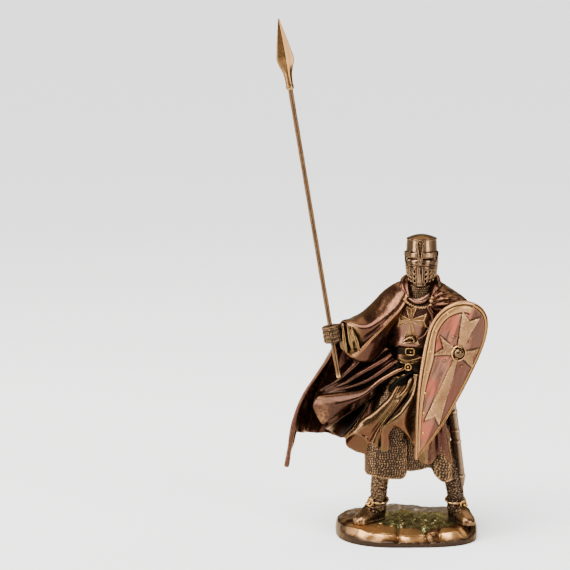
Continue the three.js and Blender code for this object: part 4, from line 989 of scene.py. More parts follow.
# %% Casting the legs
boot_rows = smooth_line(BOOT_STATIONS, np.linspace(0, len(BOOT_STATIONS) - 1, 60))
angles = circle(64)[0] - TAU / 4
arch_side, arch_rise = bent(np.cos(angles), 0.7), (1 + np.sin(angles)) / 2
for side, sole, joints in zip(("right", "left"), SOLES, HIPS):
    heel, toe = np.array(sole, float)
    ankle = [heel[0], heel[1] - 2, GROUND_Z + 16]
    calf = limb(joints + [ankle, [*ankle[:2], GROUND_Z + 6]], [7.4, 6.4, 5.6, 5.1, 5.0], 0.8)
    arches = [on_sole(sole, at, half * arch_side, top * arch_rise) for at, half, top in boot_rows]
    edges = [[on_sole(sole, at, way * half * 1.04, 0.0) for at, half, _ in boot_rows] for way in (-1, 1)]
    outline = np.array(edges[0] + edges[1][::-1])
    welt = [outline + [0, 0, up] for up in (0, 0.2, 1.3, 1.5)]
    leg = cast_together(f"leg_{side}", [calf, skin(arches), skin(welt)], 0.48, 3)
    where = corners_of(leg)
    along = (where[:, :2] - heel) @ (toe - heel) / ((toe - heel) @ (toe - heel))
    toe_cap = np.clip((along - 0.55) / 0.15, 0, 1) * (where[:, 2] < GROUND_Z + 9)
    links = pebbles(where * [1, 1, 1.2], 1.35, 11) * (1 - toe_cap) * (where[:, 2] >= GROUND_Z + 1.8)
    push(leg, 0.55 * links - 0.15)
    put_down(f"leg_{side}", leg, *MAIL_PIECE, boot_finish, toe=toe_cap)

# %% [markdown]
# ## Lines of the spear
# The hand and the spear meet, so the spear's line comes first. It leans to the left by about ten degrees. A
# helper finds points across the spear, in front of it and along it, and both pieces use it.

# %% Spear lines
SPEAR_FOOT = np.array([-43.6, -12.0, 101.7])
SPEAR_AIM = np.array([-math.sin(math.radians(9.57)), 0, math.cos(math.radians(9.57))])
SPEAR_ACROSS = np.cross([0, 1, 0], SPEAR_AIM)
SPEAR_RADIUS = 1.5
SPEAR_LENGTH = 225
SPEAR_HEAD_LENGTH = 44
GRIP_HEIGHT = 28.4


def on_spear(across, front, along):
    """A point by the spear: across it, in front of it, and along it from its foot."""
    across, front, along = (np.asarray(v, float)[..., None] for v in (across, front, along))
    return SPEAR_FOOT + across * SPEAR_ACROSS + front * np.array([0, -1.0, 0]) + along * SPEAR_AIM


print("the spear's tip:", on_spear(0, 0, SPEAR_LENGTH).round(1))

# %% [markdown]
# ## The mitten of mail
# Only the mail mitten shows below the cloak, and its four fingers close round the spear. Each finger is a
# torus round the shaft, which is how a closed hand looks from outside. The palm is a ball, and the arm goes
# on under the cloth to the shoulder, so that the hand hangs on something. It is nearly 2 mm too thick above the
# elbow and shows through the back of the cloak there.

# %% The mitten
def finger(k):
    _, c, s = circle(20)
    radius = SPEAR_RADIUS + 2.5 + 1.75 * c
    height = GRIP_HEIGHT + 2.5 * (k - 1.5) + 1.6 * s
    return torus([
        on_spear(0.4 + radius * math.cos(a), -0.4 + radius * math.sin(a), height) for a in circle(48)[0]
    ])


arm = limb(points("-6 0 149, -17 5 143, -26 8 133, -35 -1 129.5, -43 -8 129.5"), [7.5, 6.6, 5.6, 4.6, 4], 0.8)
wrist = limb(points("-38 -4.5 129.8, -41 -6.7 129.8, -44 -9 129.8"), [5.2, 5.4, 5.6], 0.6)
palm = ball(on_spear(2.4, -2.0, GRIP_HEIGHT), 5.2)
mitten = cast_together("mitten", [arm, wrist, palm, *[finger(k) for k in range(4)]], 0.36, 4, 0.68)
from_spear = corners_of(mitten) - SPEAR_FOOT
round_spear = np.arctan2(-from_spear[:, 1], from_spear @ SPEAR_ACROSS)
push(mitten, 0.3 * mail_relief(round_spear * 4.2 / 1.3 + 40, from_spear @ SPEAR_AIM / 1.25))
put_down("mitten", mitten, *MAIL_PIECE, mail_finish)

# %% [markdown]
# ## Great helm
# The helm is a beaten pot with a flat top. It has a band of riveted plates round the brow, a narrow slit for
# the eyes, a ring on its forehead and rows of breathing holes. It could be cut with booleans, but a height
# map over fine rings gives the same steps with soft edges and no broken faces.

# %% Relief of the helm
def helm_relief(side, away, height):
    """How far each place of the helm stands out, and how much painted highlight it gets."""
    def box(x0, x1, z0, z1, soft=0.25):
        inside = np.minimum(np.minimum(away - x0, x1 - away), np.minimum(height - z0, z1 - height))
        return np.clip(inside / soft + 0.5, 0, 1)

    def line(gap, width):
        return np.exp(-((gap / width) ** 2))

    def filled(inside, soft):
        return np.clip(inside / soft + 0.5, 0, 1)

    brow = height - (174.0 - 0.24 * away)
    nose = np.clip(0.3 + 0.5 * (174.2 - height), 0, 1.8)
    fork = 0.25 + 1.3 * np.clip((height - 174.4) / 9, 0, 1)
    from_ring = np.hypot(side, height - 185.7)
    out = -2.2 * box(1.6, 9.6, 175.6, 176.4)
    out += (0.35 * line(brow, 0.5) - 0.2 * line(brow + 0.9, 0.4)) * box(-1, 11, 160, 175)
    out += 0.7 * filled(nose - away, 0.25) * box(-1, 9, 159.6, 174.3)
    out += (0.25 * line(away, 0.45) - 0.35 * line(away - nose - 0.4, 0.3)) * box(-1, 9, 159.6, 172)
    out += 0.8 * line(away - fork, 0.42) * box(-1, 9, 174.2, 184.4)
    out -= 0.5 * np.clip((fork - away - 0.4) / 0.3, 0, 1) * box(-1, 9, 175, 184.2)
    out += 0.9 * line(from_ring - 1.8, 0.45) + 0.7 * filled(0.8 - from_ring, 0.2)
    for column in (3.5, 6.4, 9.7):
        for row in range(3):
            hole = np.hypot(away - column, 0.85 * (height - (162.8 + 2.9 * row) - 0.09 * column))
            out -= 1.9 * filled(0.7 - hole, 0.2)
    for plate in (1.9, 8.8, 15.4):
        out += 0.5 * box(plate, plate + 6.2, 177.1, 179.8)
    out += 0.6 * line(away - (13.6 - 0.43 * (180 - height)), 0.75) * box(0, 30, 172.6, 180)
    out += 0.35 * line(height - 160.4, 0.5)
    # Two upright stripes of painted highlight, full on the plates at the brow and half on the crown.
    polish = line(side + 4.3, 1.3) + line(side - 5.6, 2.4)
    return out, polish * (box(-1, 12, 177.1, 179.8) + 0.5 * box(-1, 12, 180.9, 187.6, 1.0))


print("relief at the eye slit:", helm_relief(5.0, 5.0, 176.0)[0].round(1), "mm")

# %% [markdown]
# ## Rings of the helm
# A profile gives the width and the depth of each ring, and the relief is added to both. Marks paint shade
# in the holes, in the slits and on the sides, and paint highlight stripes over the plates at the brow and the crown.

# %% The helm
HELM_AT = (7.5, -1.0)
HELM_RADIUS = 8.6
HELM_TURN = -8
HELM_PROFILE = points("""
    159.6 .74 1.02 .2, 160.6 .92 1.12 .2, 162.5 1.02 1.17 .18, 166 1.12 1.2 .12, 170 1.18 1.22 .06,
    174 1.21 1.23 .02, 176.5 1.21 1.23 0, 176.9 1.16 1.2 0, 180 1.16 1.2 0, 180.3 1.12 1.16 0, 187.3 1.08 1.13 0,
    187.5 1.11 1.16 0, 188.1 1.1 1.15 0, 188.4 1.04 1.08 0, 189.5 .7 .72 0, 190.2 .4 .42 0, 190.6 .02 .02 0
""")

z = np.concatenate([np.linspace(159.6, 188.2, 132), np.linspace(188.4, 190.6, 12)])[:, None]
angles = circle(252)[0]
from_front = ((angles + TAU / 4 + math.pi) % TAU - math.pi)[None, :]
wide, deep, keel = (np.interp(z, HELM_PROFILE[:, 0], HELM_PROFILE[:, k]) for k in (1, 2, 3))
grow = 1 + keel * np.maximum(0, 1 - np.abs(from_front) / math.radians(48))
side, height = from_front * 9.9 + 0 * z, z + 0 * from_front
out, polish = helm_relief(side, np.abs(side), height)
level = height + 0.9 * np.sin(angles) * (keel > 0.01)
a, b = (HELM_RADIUS * share * grow + out for share in (wide, deep))
helm = [ring(angles, level[j], *HELM_AT, a[j], b[j], HELM_TURN) for j in range(len(z))]
# Dark marks paint shade in the holes, the slits and the sides, and the bright one paints highlight stripes.
put_down(
    "helm", skin(helm), "knight", "helm_bronze", helm_finish, pit=np.clip((-out - 0.5) / 0.6, 0, 1),
    polished=np.clip(polish, 0, 1), dull=np.clip((np.abs(side) - 7.5) / 3, 0, 0.7),
)

# %% [markdown]
# ## Belts and buckles
# A narrow belt holds the surcoat, and a wider one slopes round the hips and carries the sword. Both are bands
# with rounded edges, and the spare end of the wide one loops down in front. Buckles are wire bent into a
# squarish ring, so one helper makes them all, also those at the ankles.

# %% Straps and wire loops
STRAP_HEIGHT = 4.4
STRAP_PROFILE = points("-1.2 -.5, .8 -.5, 1.05 -.42, 1.1 -.3, .9 0, 1.1 .3, 1.05 .42, .8 .5, -1.2 .5")


def strap(name, x, y, z, a, b, turn, slope):
    """A band round the body that rises and falls by a slope."""
    angles = circle(220)[0]
    rings = [
        ring(angles, z + STRAP_HEIGHT * rise + slope * np.sin(angles + 0.5), x, y, a + grow, b + grow, turn, 2.2)
        for grow, rise in STRAP_PROFILE
    ]
    put_down(name, torus(rings), *STRAP_PIECE, strap_finish)


def front_of(turn):
    """The way that the front of a body faces after a turn."""
    return np.array([aim(turn)[1], -aim(turn)[0], 0])


def frame_ring(middle, out, half_wide, half_high, wire, bend=0.55, up=(0, 0, 1)):
    """A squarish wire loop, such as a buckle."""
    out, up = unit(np.array(out, float)), unit(np.array(up, float))
    _, c, s = circle(64)
    away = (half_wide * bent(c, bend))[:, None] * np.cross(up, out) + (half_high * bent(s, bend))[:, None] * up
    _, c, s = circle(12)
    thick = wire * (unit(away)[:, None] * c[:, None] + out * s[:, None])
    return torus(np.array(middle) + away[:, None] + thick)


print("the belt's buckle faces", front_of(TORSO_TURN).round(2))

# %% [markdown]
# ## Fastening the belts
# The narrow belt's buckle has a pin, and the sword belt's is round, with a stud in it. The spare end is cast
# from a slab with two small curls. Each ankle has a strap, a buckle and a short end that sticks out.

# %% Belts
ANKLES = [
    ((-23.8, -6.2, 21.8), (-0.6, -0.8, 0.1), (-18.2, 0.5)),
    ((34.6, -7, 20.6), (0.45, -0.9, 0.1), (30, 0)),
]

strap("belt", 2.8, 0, 118.6, 13.4, 11, TORSO_TURN, 0)
strap("sword_belt", 3.4, -0.4, 108.5, 14.4, 12.6, HIP_TURN, -2.6)
loop = cloth_grid(points("""
    2 -14.8 106.8, -3 -16 104.8, -8.4 -15.4 101.4, -13 -13 97;
    2 -15.6 104.6, -3 -17 102.4, -8.4 -16.4 98.8, -13 -13.4 95;
    2 -15.2 102.4, -2 -16.4 99.8, -7.6 -15.6 96, -12.6 -12.8 92.6
"""), 0.6)
loop_parts = [
    slab(loop, 1.4),
    rolled(points("-9 -11.6 109.4, -8.4 -13.6 111.2, -6.6 -14.2 110.4, -7.4 -14 108.6"), [0.7] * 3),
    rolled(points("-6.2 -13 108.8, -4.8 -14.6 110.6, -3.4 -14.8 108.8"), [0.6] * 3),
]
put_down("belt_loop", cast_together("belt_loop", loop_parts, 0.45, 2), *STRAP_PIECE, strap_finish)
buckles = [
    frame_ring((0.2, -12.6, 118.6), front_of(TORSO_TURN), 2.7, 2.1, 0.45),
    limb(points("0.2 -13.1 118.5, 1.5 -13 118.5, 3.2 -12.4 118.5"), [0.45, 0.4, 0.3], 0.3, 12),
    frame_ring((-1.0, -14.6, 109.3), front_of(HIP_TURN), 1.9, 1.9, 0.5, 0.9),
    ball((-1.0, -14.4, 109.3), 0.8, 8),
]
put_down("buckles", joined(buckles), *GOLD_PIECE, gold_finish)
ankle_straps, ankle_buckles = [], []
for middle, out, ankle in ANKLES:
    _, c, s = circle(40)
    around = np.stack([ankle[0] + 5.9 * c, ankle[1] + 6.2 * s, 22.2 + 1.2 * s], -1)
    ankle_straps.append(limb(around, [0.9, 0.9], 0.6, 10))
    lean = math.copysign(1, out[0])
    spare_end = np.array(middle) + [[0, 0, 0], [1.6 * lean, 0.6, -1.2], [2.6 * lean, 1.6, -0.6]]
    ankle_buckles += [frame_ring(middle, out, 1.9, 2.2, 0.55, 0.8, (0.25, 0, 1)), rolled(spare_end, [0.6] * 3)]
put_down("ankle_straps", joined(ankle_straps), *STRAP_PIECE, boss_finish)
put_down("ankle_buckles", joined(ankle_buckles), *GOLD_PIECE, gold_finish)

# %% [markdown]
# ## Breast cross
# The breast cross is four wedges with notched ends and raised rims. A flat cross would cut into the round
# chest. So each of its points is dropped onto the surcoat along a ray, and then lifted by the relief.

# %% The breast cross
CROSS_AT = np.array([0.4, -13.3, 138.2])
CROSS_ARMS = [(90, 8.9, 4.0), (0, 10.2, 4.7), (180, 9.0, 4.9), (270, 15.2, 5.8)]
CHEST_OUT = front_of(TORSO_TURN)
CHEST_SIDE = np.array([*aim(TORSO_TURN), 0])
chest = BVHTree.FromPolygons((corners_of(surcoat) / MM).tolist(), [list(face.vertices) for face in surcoat.polygons])


def flared_arm(toward, length, half, core, notch, power, columns):
    """A flat arm of a cross with a notched end: side and rise of its points, and their places in the arm."""
    rows = max(44, int(length * 1.6))
    share, across = np.meshgrid(np.linspace(0.02, 1, rows), np.linspace(-1, 1, columns), indexing="ij")
    wide = across * (core + (half - core) * share)
    side, rise = turned(length * share - notch * (1 - np.abs(across)) * share**power, wide, toward)
    return side, rise, share, across, wide


def on_chest(grid):
    """Flat points dropped onto the surcoat from the front."""
    laid = grid.copy()
    for spot in np.ndindex(grid.shape[:2]):
        hit = chest.ray_cast(Vector(grid[spot] + CHEST_OUT * 12), Vector(-CHEST_OUT), 40)[0]
        if hit is not None:
            laid[spot] = hit
    return laid


arms, seams = [], []
for toward, length, half in CROSS_ARMS:
    side, rise, share, across, _ = flared_arm(toward, length, half, 0.5, 1.6, 3, 31)
    rim = np.minimum(1 - np.abs(across), (1 - share) * length / half)
    height = 0.5 + 0.45 * np.exp(-(((rim - 0.1) / 0.09) ** 2)) + 0.4 * np.exp(-((across / 0.14) ** 2))
    height -= 1.5 * np.clip(1 - rim / 0.05, 0, 1)
    flat = CROSS_AT + side[..., None] * CHEST_SIDE + rise[..., None] * np.array([0, 0, 1])
    face = on_chest(flat) + CHEST_OUT * height[..., None]
    arms.append(between_sheets(face, face - CHEST_OUT * 2.2))
    seams += [np.clip(1 - rim / 0.08, 0, 1), np.ones(rim.shape)]
put_down("breast_cross", joined(arms), *GOLD_PIECE, cross_finish, seam=np.concatenate(seams))

# %% [markdown]
# ## Clasp and chain
# Three knobs hold the cloak together at the left shoulder, and a short chain of beads runs from them to the
# other edge. The beads are set along one smooth line, and every other bead is raised, as links are.

# %% The clasp and its chain
KNOBS = [((12.8, -16.2, 150.8), 1.3), ((12.4, -16.0, 148.4), 1.1), ((13.4, -15.8, 152.8), 1.0)]
CHAIN = points("12.6 -16 148, 8 -15.4 146.6, 3 -15.2 147.2, -1.6 -15.2 149.6, -4 -14.6 152")
clasp = [ball(at, radius, 10) for at, radius in KNOBS]
for k, at in enumerate(smooth_line(CHAIN, np.linspace(0, len(CHAIN) - 1, 26))):
    clasp.append(ball(at + np.array([0, -0.2 * (k % 2), 0.25 * (-1) ** k]), 0.62, 6))
put_down("clasp", joined(clasp), *GOLD_PIECE, cross_finish)

# %% [markdown]
# ## Spear
# The shaft is turned wood in the original idea, here with one groove down its front and one down its back,
# which a mark darkens. The head has a socket with a collar and then a blade, whose section goes from a circle to
# a diamond. Stations along the spear give its widths, and the rings between them are worked out.

# %% The spear
HEAD_START = SPEAR_LENGTH - SPEAR_HEAD_LENGTH
HEAD_STATIONS = points("""
    0 1.9 1.9 0, .8 2.5 2.5 0, 2.6 2.5 2.5 0, 3.2 2.25 2.2 0, 7.2 2.4 2.1 .2, 10 2.8 2 .5, 12.8 3.6 1.8 .8,
    15.8 4.7 1.75 1, 18.4 5.35 1.85 1, 20.2 5.3 1.83 1, 23.4 4.6 1.6 1, 28.4 3.7 1.28 1, 35.3 2.2 .78 1, 40 1.2 .45 1,
    42.6 .6 .3 1, 43.9 .25 .25 1
""")
SPEAR_SIDES = 48


def spear_rings(stations, turn=0.0, fluted=0):
    """Rings along the spear, from (place, half width, half thickness, share of a diamond)."""
    _, c, s = circle(SPEAR_SIDES)
    flute = 1 - 0.45 * fluted * np.exp(-((c / 0.42) ** 2))
    rings = []
    for at, wide, thick, blade in stations:
        diamond = (1 + blade * (1 / (np.abs(c) + np.abs(s)) - 1)) * flute
        rings.append(on_spear(*turned(wide * c * diamond, thick * s * diamond, turn), at))
    return rings


shaft_at = np.linspace(0, HEAD_START + 6, 130)
shaft_radius = SPEAR_RADIUS * (1 - 0.03 * np.sin(shaft_at * 0.35))
shaft_radius[0] *= 0.7
shaft = spear_rings(zip(shaft_at, shaft_radius, shaft_radius, 0 * shaft_at), fluted=1)
groove = np.tile(np.exp(-((circle(SPEAR_SIDES)[1] / 0.36) ** 2)), len(shaft))
put_down("spear_shaft_turned", skin(shaft), "spear_shaft", "spear_bronze", spear_finish, groove=groove)
head_at = np.linspace(0, HEAD_STATIONS[-1, 0], 150)
head_sizes = [np.interp(head_at, HEAD_STATIONS[:, 0], HEAD_STATIONS[:, k]) for k in (1, 2, 3)]
head = spear_rings(zip(HEAD_START + head_at, *head_sizes), -5)
put_down("spear_head_forged", skin(head), "spear_head", "spear_bronze", blade_finish)

# %% [markdown]
# ## Shield
# The shield is as long as the body, round at the top, pointed at the bottom and bent round its length. Every
# piece of it is drawn flat first, as a side, a drop from the top and a height, and one helper bends them all.
# So the board, the cross and the rivets fit each other without any fitting.

# %% Shield lines
SHIELD_LENGTH = 103
SHIELD_HALF_WIDTH = 21
SHIELD_WIDEST_DROP = 25
SHIELD_BEND_RADIUS = 38
SHIELD_THICKNESS = 2.4
SHIELD_TIP = np.array([3.4, -29.5, 54.2])
SHIELD_UP = unit(np.array([math.tan(math.radians(19.98)), math.tan(math.radians(4.72)), 1]))
SHIELD_OUT = unit(front_of(25) - SHIELD_UP * (front_of(25) @ SHIELD_UP))
SHIELD_SIDE = np.cross(SHIELD_UP, SHIELD_OUT)
BOSS_DROP = 32.3
BOSS_SIDE = 1.6


def on_shield(side, drop, out):
    """A point of the shield: side is measured round its bend, drop down from its top, out from its face."""
    bend = np.asarray(side, float) / SHIELD_BEND_RADIUS
    radius = SHIELD_BEND_RADIUS + np.asarray(out, float)
    return (
        SHIELD_TIP
        + (SHIELD_LENGTH - np.asarray(drop, float))[..., None] * SHIELD_UP
        + (radius * np.sin(bend))[..., None] * SHIELD_SIDE
        + (radius * np.cos(bend) - SHIELD_BEND_RADIUS)[..., None] * SHIELD_OUT
    )


def half_width(drop):
    """Half the width of the shield at a drop from its top."""
    rise = np.clip(1 - drop / SHIELD_WIDEST_DROP, 0, 1)
    fall = np.clip((drop - SHIELD_WIDEST_DROP) / (SHIELD_LENGTH - SHIELD_WIDEST_DROP), 0, 1)
    return SHIELD_HALF_WIDTH * np.where(drop < SHIELD_WIDEST_DROP, np.sqrt(1 - rise**2.2), 1 - fall**1.55)


print("half the shield's width at the boss:", round(float(half_width(BOSS_DROP)), 1))

# %% [markdown]
# ## Board and rim
# The board runs in from its outline in rings, so the rim follows the edge all the way round: a raised bead, a
# groove and a broad band. A dark band lies in the seam round the cross, and it is found from the distance to the
# outline of the cross.

# %% The board and its rim
SHIELD_ARMS = [(90, 25.4, 6.8), (0, 16.4, 6.8), (180, 15, 6.6), (270, 46.5, 5.6)]
CORE = 1.2
NOTCH = 4.6
RIM_INSET = 5.1
RIM_SECTION = points("""
    0 -1.4, 0 -.2, .1 .4, .4 .8, .8 1, 1.1 .85, 1.4 .1, 1.7 -.2, 2 .1, 2.3 .45, 2.9 .6, 3.6 .66, 4.4 .6, 4.8 .4,
    5.05 -.2, 5.3 -.6, 5.6 -.4, 6 0
""")


def seam_of_cross(side, drop):
    """1 close to the edges of the raised cross, where the board is darkened, and 0 elsewhere."""
    seam = np.zeros_like(side)
    for toward, length, half in SHIELD_ARMS:
        along, across = turned(side - BOSS_SIDE, BOSS_DROP - drop, -toward)
        wide = CORE + (half - CORE) * np.clip(along / length, 0, 1)
        end = length - NOTCH * (1 - np.clip(np.abs(across) / wide, 0, 1))
        gap = np.maximum(np.abs(across) - wide, np.maximum(along - end, -along))
        seam = np.maximum(seam, np.exp(-((gap / 0.75) ** 2)))
    return seam


sides = 420
drop = SHIELD_LENGTH * (1 - circle(sides)[1]) / 2
side = np.where(np.arange(sides) < sides / 2, 1, -1) * half_width(drop)
middle = 0.37 * SHIELD_LENGTH
reach = np.hypot(side, drop - middle)
narrower = np.where(side > 0, -0.5, 0.4)


def shrunk(share, out, squeeze=1.0):
    """The outline of the board, shrunk towards its middle, and its height."""
    return side * share * squeeze, middle + (drop - middle) * share, out


sections = [(0.0, -SHIELD_THICKNESS), *RIM_SECTION, *[(inset, 0.0) for inset in np.arange(6.5, 20, 0.6)]]
back = [shrunk(share, -SHIELD_THICKNESS) for share in (0.05, 0.5, 0.9)]
face = [shrunk(np.maximum(0.02, reach - inset - narrower * min(inset, 6)) / reach, out) for inset, out in sections]
inner = [shrunk(share, 0.0, 0.5) for share in (0.45, 0.3, 0.15, 0.02)]
on_rim = [1] * len(back) + [int(inset < RIM_INSET) for inset, _ in sections] + [0] * len(inner)
rim = np.append(np.repeat(on_rim, sides), [0, 0])
seam = [seam_of_cross(*at[:2]) * (inset > RIM_INSET) for at, (inset, _) in zip(face, sections)]
board = put_down(
    "shield_board", skin([on_shield(*at) for at in back + face + inner]), "shield", "shield_bronze", shield_finish,
    rim=rim, seam=np.concatenate([np.zeros(len(back) * sides), *seam]),
)
on_right = (corners_of(board) / MM - SHIELD_TIP) @ SHIELD_SIDE
mark(board, shade=np.clip((on_right - 2) / 2, 0, 0.8) * (1 - rim))

# %% [markdown]
# ## Cross, boss and rivets
# The cross is a plate of four flared arms with notched ends and a hammered face, which two waves give it. The
# boss in its middle is a turned dome in a ring. Four rivets stand between the arms, and a row of small ones
# holds the rim.

# %% The cross, the boss and the rivets
plates, seams = [], []
for toward, length, half in SHIELD_ARMS:
    x, y, share, across, wide = flared_arm(toward, length, half, CORE, NOTCH, 4, 29)
    rim = np.minimum((1 - np.abs(across)) * (CORE + (half - CORE) * share), (1 - share) * length)
    hammered = 0.1 * np.sin(share * length * 2.7 + wide) * np.sin(wide * 2.9 + share * length)
    out = 1.0 - 1.6 * np.clip(1 - rim / 0.5, 0, 1) ** 2 + hammered
    at = BOSS_SIDE + x, BOSS_DROP - y
    plates.append(between_sheets(on_shield(*at, out), on_shield(*at, -1.0)))
    seams += [np.clip(1 - rim / 0.45, 0, 1), np.ones(rim.shape)]
put_down("shield_cross", joined(plates), "shield", "fitting_gold", cross_finish, seam=np.concatenate(seams))


def bowl(radius, base, height, start, steps, end=0.05):
    """The outline of a rounded stud, as (radius, height) pairs."""
    return [(radius * math.cos(t), base + height * math.sin(t)) for t in np.linspace(start, TAU / 4 - end, steps)]


def dome(side, drop, profile, count=48):
    """A turned stud on the shield, from (radius, height) pairs."""
    middle = on_shield(side, drop, 0.0)
    out = on_shield(side, drop, 1.0) - middle
    right = np.cross(SHIELD_UP, out)
    _, c, s = circle(count)
    away = c[:, None] * right + s[:, None] * np.cross(out, right)
    return skin([middle + out * height + radius * away for radius, height in profile])


boss_ring = [(5.2, -0.6), (5.2, 1.0), (5.0, 1.6), (4.6, 1.8), (4.1, 1.3), (3.9, 0.5), (3.7, 0.4)]
studs = [dome(BOSS_SIDE, BOSS_DROP, boss_ring + bowl(3.5, 0.6, 3.6, 0.05, 14, 0.02))]
for side, drop in ((-6.6, -8.3), (5.4, -8.8), (-6.6, 7.2), (6.2, 7.2)):
    studs.append(dome(BOSS_SIDE + side, BOSS_DROP + drop, bowl(1.15, 0, 1.1, -0.5, 8), 20))
put_down("shield_boss", joined(studs), "shield", "fitting_gold", boss_finish)
rim_studs = [
    dome(4.6 - half_width(drop), drop, bowl(0.95, 0.6, 0.8, -0.5, 6), 14) for drop in (11.5, 24, 37, 49.5, 62, 74, 86)
]
put_down("shield_rivets", joined(rim_studs), "shield", "fitting_gold", gold_finish)

# %% [markdown]
# ## Sheathed sword
# The sword hangs behind the shield at the left hip, and its sheath shows below. The sheath is a flattened
# tube with cast bands, so stations along it do the work again. Small studs in threes decorate it between the
# bands, and the hilt, which the shield hides, has a guard, a bound grip and a round pommel.

# %% The sword
SWORD_MOUTH = np.array([22.8, 1.0, 111.0])
SWORD_TIP = np.array([34.0, -2.4, 31.0])
SWORD_LENGTH = np.linalg.norm(SWORD_TIP - SWORD_MOUTH)
SWORD_DOWN = (SWORD_TIP - SWORD_MOUTH) / SWORD_LENGTH
SWORD_OUT = unit(np.cross(SWORD_DOWN, [1, -0.5, 0]))
SWORD_SIDE = np.cross(SWORD_OUT, SWORD_DOWN)


def sword_body(stations):
    """A squarish tube along the sword, from (place, half width, half thickness)."""
    x, y = (bent(values, 2 / 2.6)[:, None] for values in circle(40)[1:])
    return skin([
        SWORD_MOUTH + SWORD_DOWN * at + wide * x * SWORD_SIDE + thick * y * SWORD_OUT for at, wide, thick in stations
    ])


at = np.linspace(0, SWORD_LENGTH, 200)
bands = 0.35 * sum(np.exp(-(((at - band) / 0.9) ** 4)) for band in (2, 20, 27, 33, 45, 52, 74))
wide, thick = (
    np.interp(at / SWORD_LENGTH, [0, 0.5, 0.93, 1], sizes) + bands
    for sizes in ([3.4, 3.2, 2.8, 1.1], [1.8, 1.8, 1.62, 0.7])
)
scabbard = sword_body(zip(at, wide, thick))
put_down("scabbard", scabbard, "sheathed_sword", "scabbard_bronze", scabbard_finish)
mounts = []
for down in (10, 15, 24, 30, 38, 41, 49, 57, 61, 68):
    stud = SWORD_MOUTH + SWORD_DOWN * down - SWORD_OUT * 1.75
    mounts += [ball(stud + SWORD_SIDE * across, 0.75, 8) for across in (-1.1, 1.1)]
    mounts.append(ball(stud + SWORD_DOWN * 1.2, 0.8, 8))
put_down("scabbard_mounts", joined(mounts), "sheathed_sword", "fitting_gold", gold_finish)
binding = [0.14 * math.sin(k * 1.4) for k in range(54)]
hilt = [
    sword_body([(-2.2, 6.0, 1.3), (-2.0, 6.2, 1.5), (-0.2, 6.2, 1.5), (0, 6.0, 1.3)]),
    sword_body([(-15 + 0.25 * k, 1.25 + wave, 1.1 + wave) for k, wave in enumerate(binding)]),
    ball(SWORD_MOUTH - SWORD_DOWN * 15.5, 2.7, 16),
]
put_down("sword_hilt", joined(hilt), "sheathed_sword", "fitting_gold", gold_finish)

# %% [markdown]
# ## Rock
# The plinth is a low rock, ragged on top, with three smooth lobes and a few cracks at its front edge. Its
# height is a function of the place: waves of falling size for the ragged stone, domes for the lobes, and flat
# ground under each boot. A noise texture could displace it, but the boots need to know where the ground is.

# %% The shape of the rock
PLINTH_HALF_WIDTH = 44.2
PLINTH_HALF_DEPTH = 38.0
PLINTH_MIDDLE_Y = 2.0


def plinth_reach(angle):
    n = 2.5
    corner = (np.abs(np.cos(angle)) ** n + np.abs(np.sin(angle)) ** n) ** (-1 / n)
    return corner * (1 - 0.012 * np.sin(3 * angle + 0.6) - 0.012 * np.sin(5 * angle + 2.1))


def rock_lift(x, y):
    return (
        0.9 * np.sin(0.16 * x + 0.11 * y + 1.3) * np.sin(0.13 * y - 0.07 * x)
        + 0.45 * np.sin(0.41 * x - 0.2 * y) * np.sin(0.33 * y + 0.8)
        - (x + 4) * 0.012
    )


def ease(t):
    t = np.clip(t, 0, 1)
    return t * t * (3 - 2 * t)


def to_soles(x, y):
    """The distance to the nearer sole."""
    gaps = []
    for (hx, hy), (tx, ty) in SOLES:
        dx, dy = tx - hx, ty - hy
        t = np.clip(((x - hx) * dx + (y - hy) * dy) / (dx * dx + dy * dy), 0, 1)
        gaps.append(np.hypot(x - hx - t * dx, y - hy - t * dy))
    return np.minimum(*gaps)


def fractal(x, y, seed, first, octaves=5):
    """Waves of no clear direction, each octave half as long and half as high as the one before."""
    rng = np.random.default_rng(seed)
    total = np.zeros_like(x)
    for k in range(octaves):
        size = first / 2**k
        for _ in range(4):
            way = rng.uniform(0, TAU)
            total += np.sin(TAU * (x * math.cos(way) + y * math.sin(way)) / size + rng.uniform(0, TAU)) / 2**k / 3
    return total


print("reach of the plinth to the front and to the left:", plinth_reach(np.array([-TAU / 4, 0])).round(2))

# %% [markdown]
# ## Moss, lobes and cracks
# Moss grows in the middle of the top, and hands have rubbed the lobes of the front ledge smooth. Each is a
# share from 0 to 1, which shapes the stone here and colours it later, so relief and colour always agree.

# %% The top of the rock
LEDGE_DROP = 3.2
LEDGE_LOBES = [(-24, -22, 17, 12), (0.8, -27, 8, 8), (28, -28, 10, 9)]
CRACKS = [(-7.4, 0.06, 1.0), (9.5, -0.35, 0.7), (18.4, 0.05, 0.8), (37.5, -0.3, 0.9)]


def moss_share(x, y):
    """1 in the middle of the top, where moss grows, and 0 on bare rock."""
    from_middle = np.hypot((x - 3) / 30, (y + 1) / 23)
    return ease((1.08 - from_middle + 0.14 * fractal(x, y, 8, 14, 4)) / 0.22)


def smooth_share(x, y):
    """1 on the smooth lobes of the front ledge."""
    lobes = [ease((1.15 - np.hypot((x - a) / w, (y - b) / d)) / 0.3) for a, b, w, d in LEDGE_LOBES]
    return np.max(lobes, axis=0)


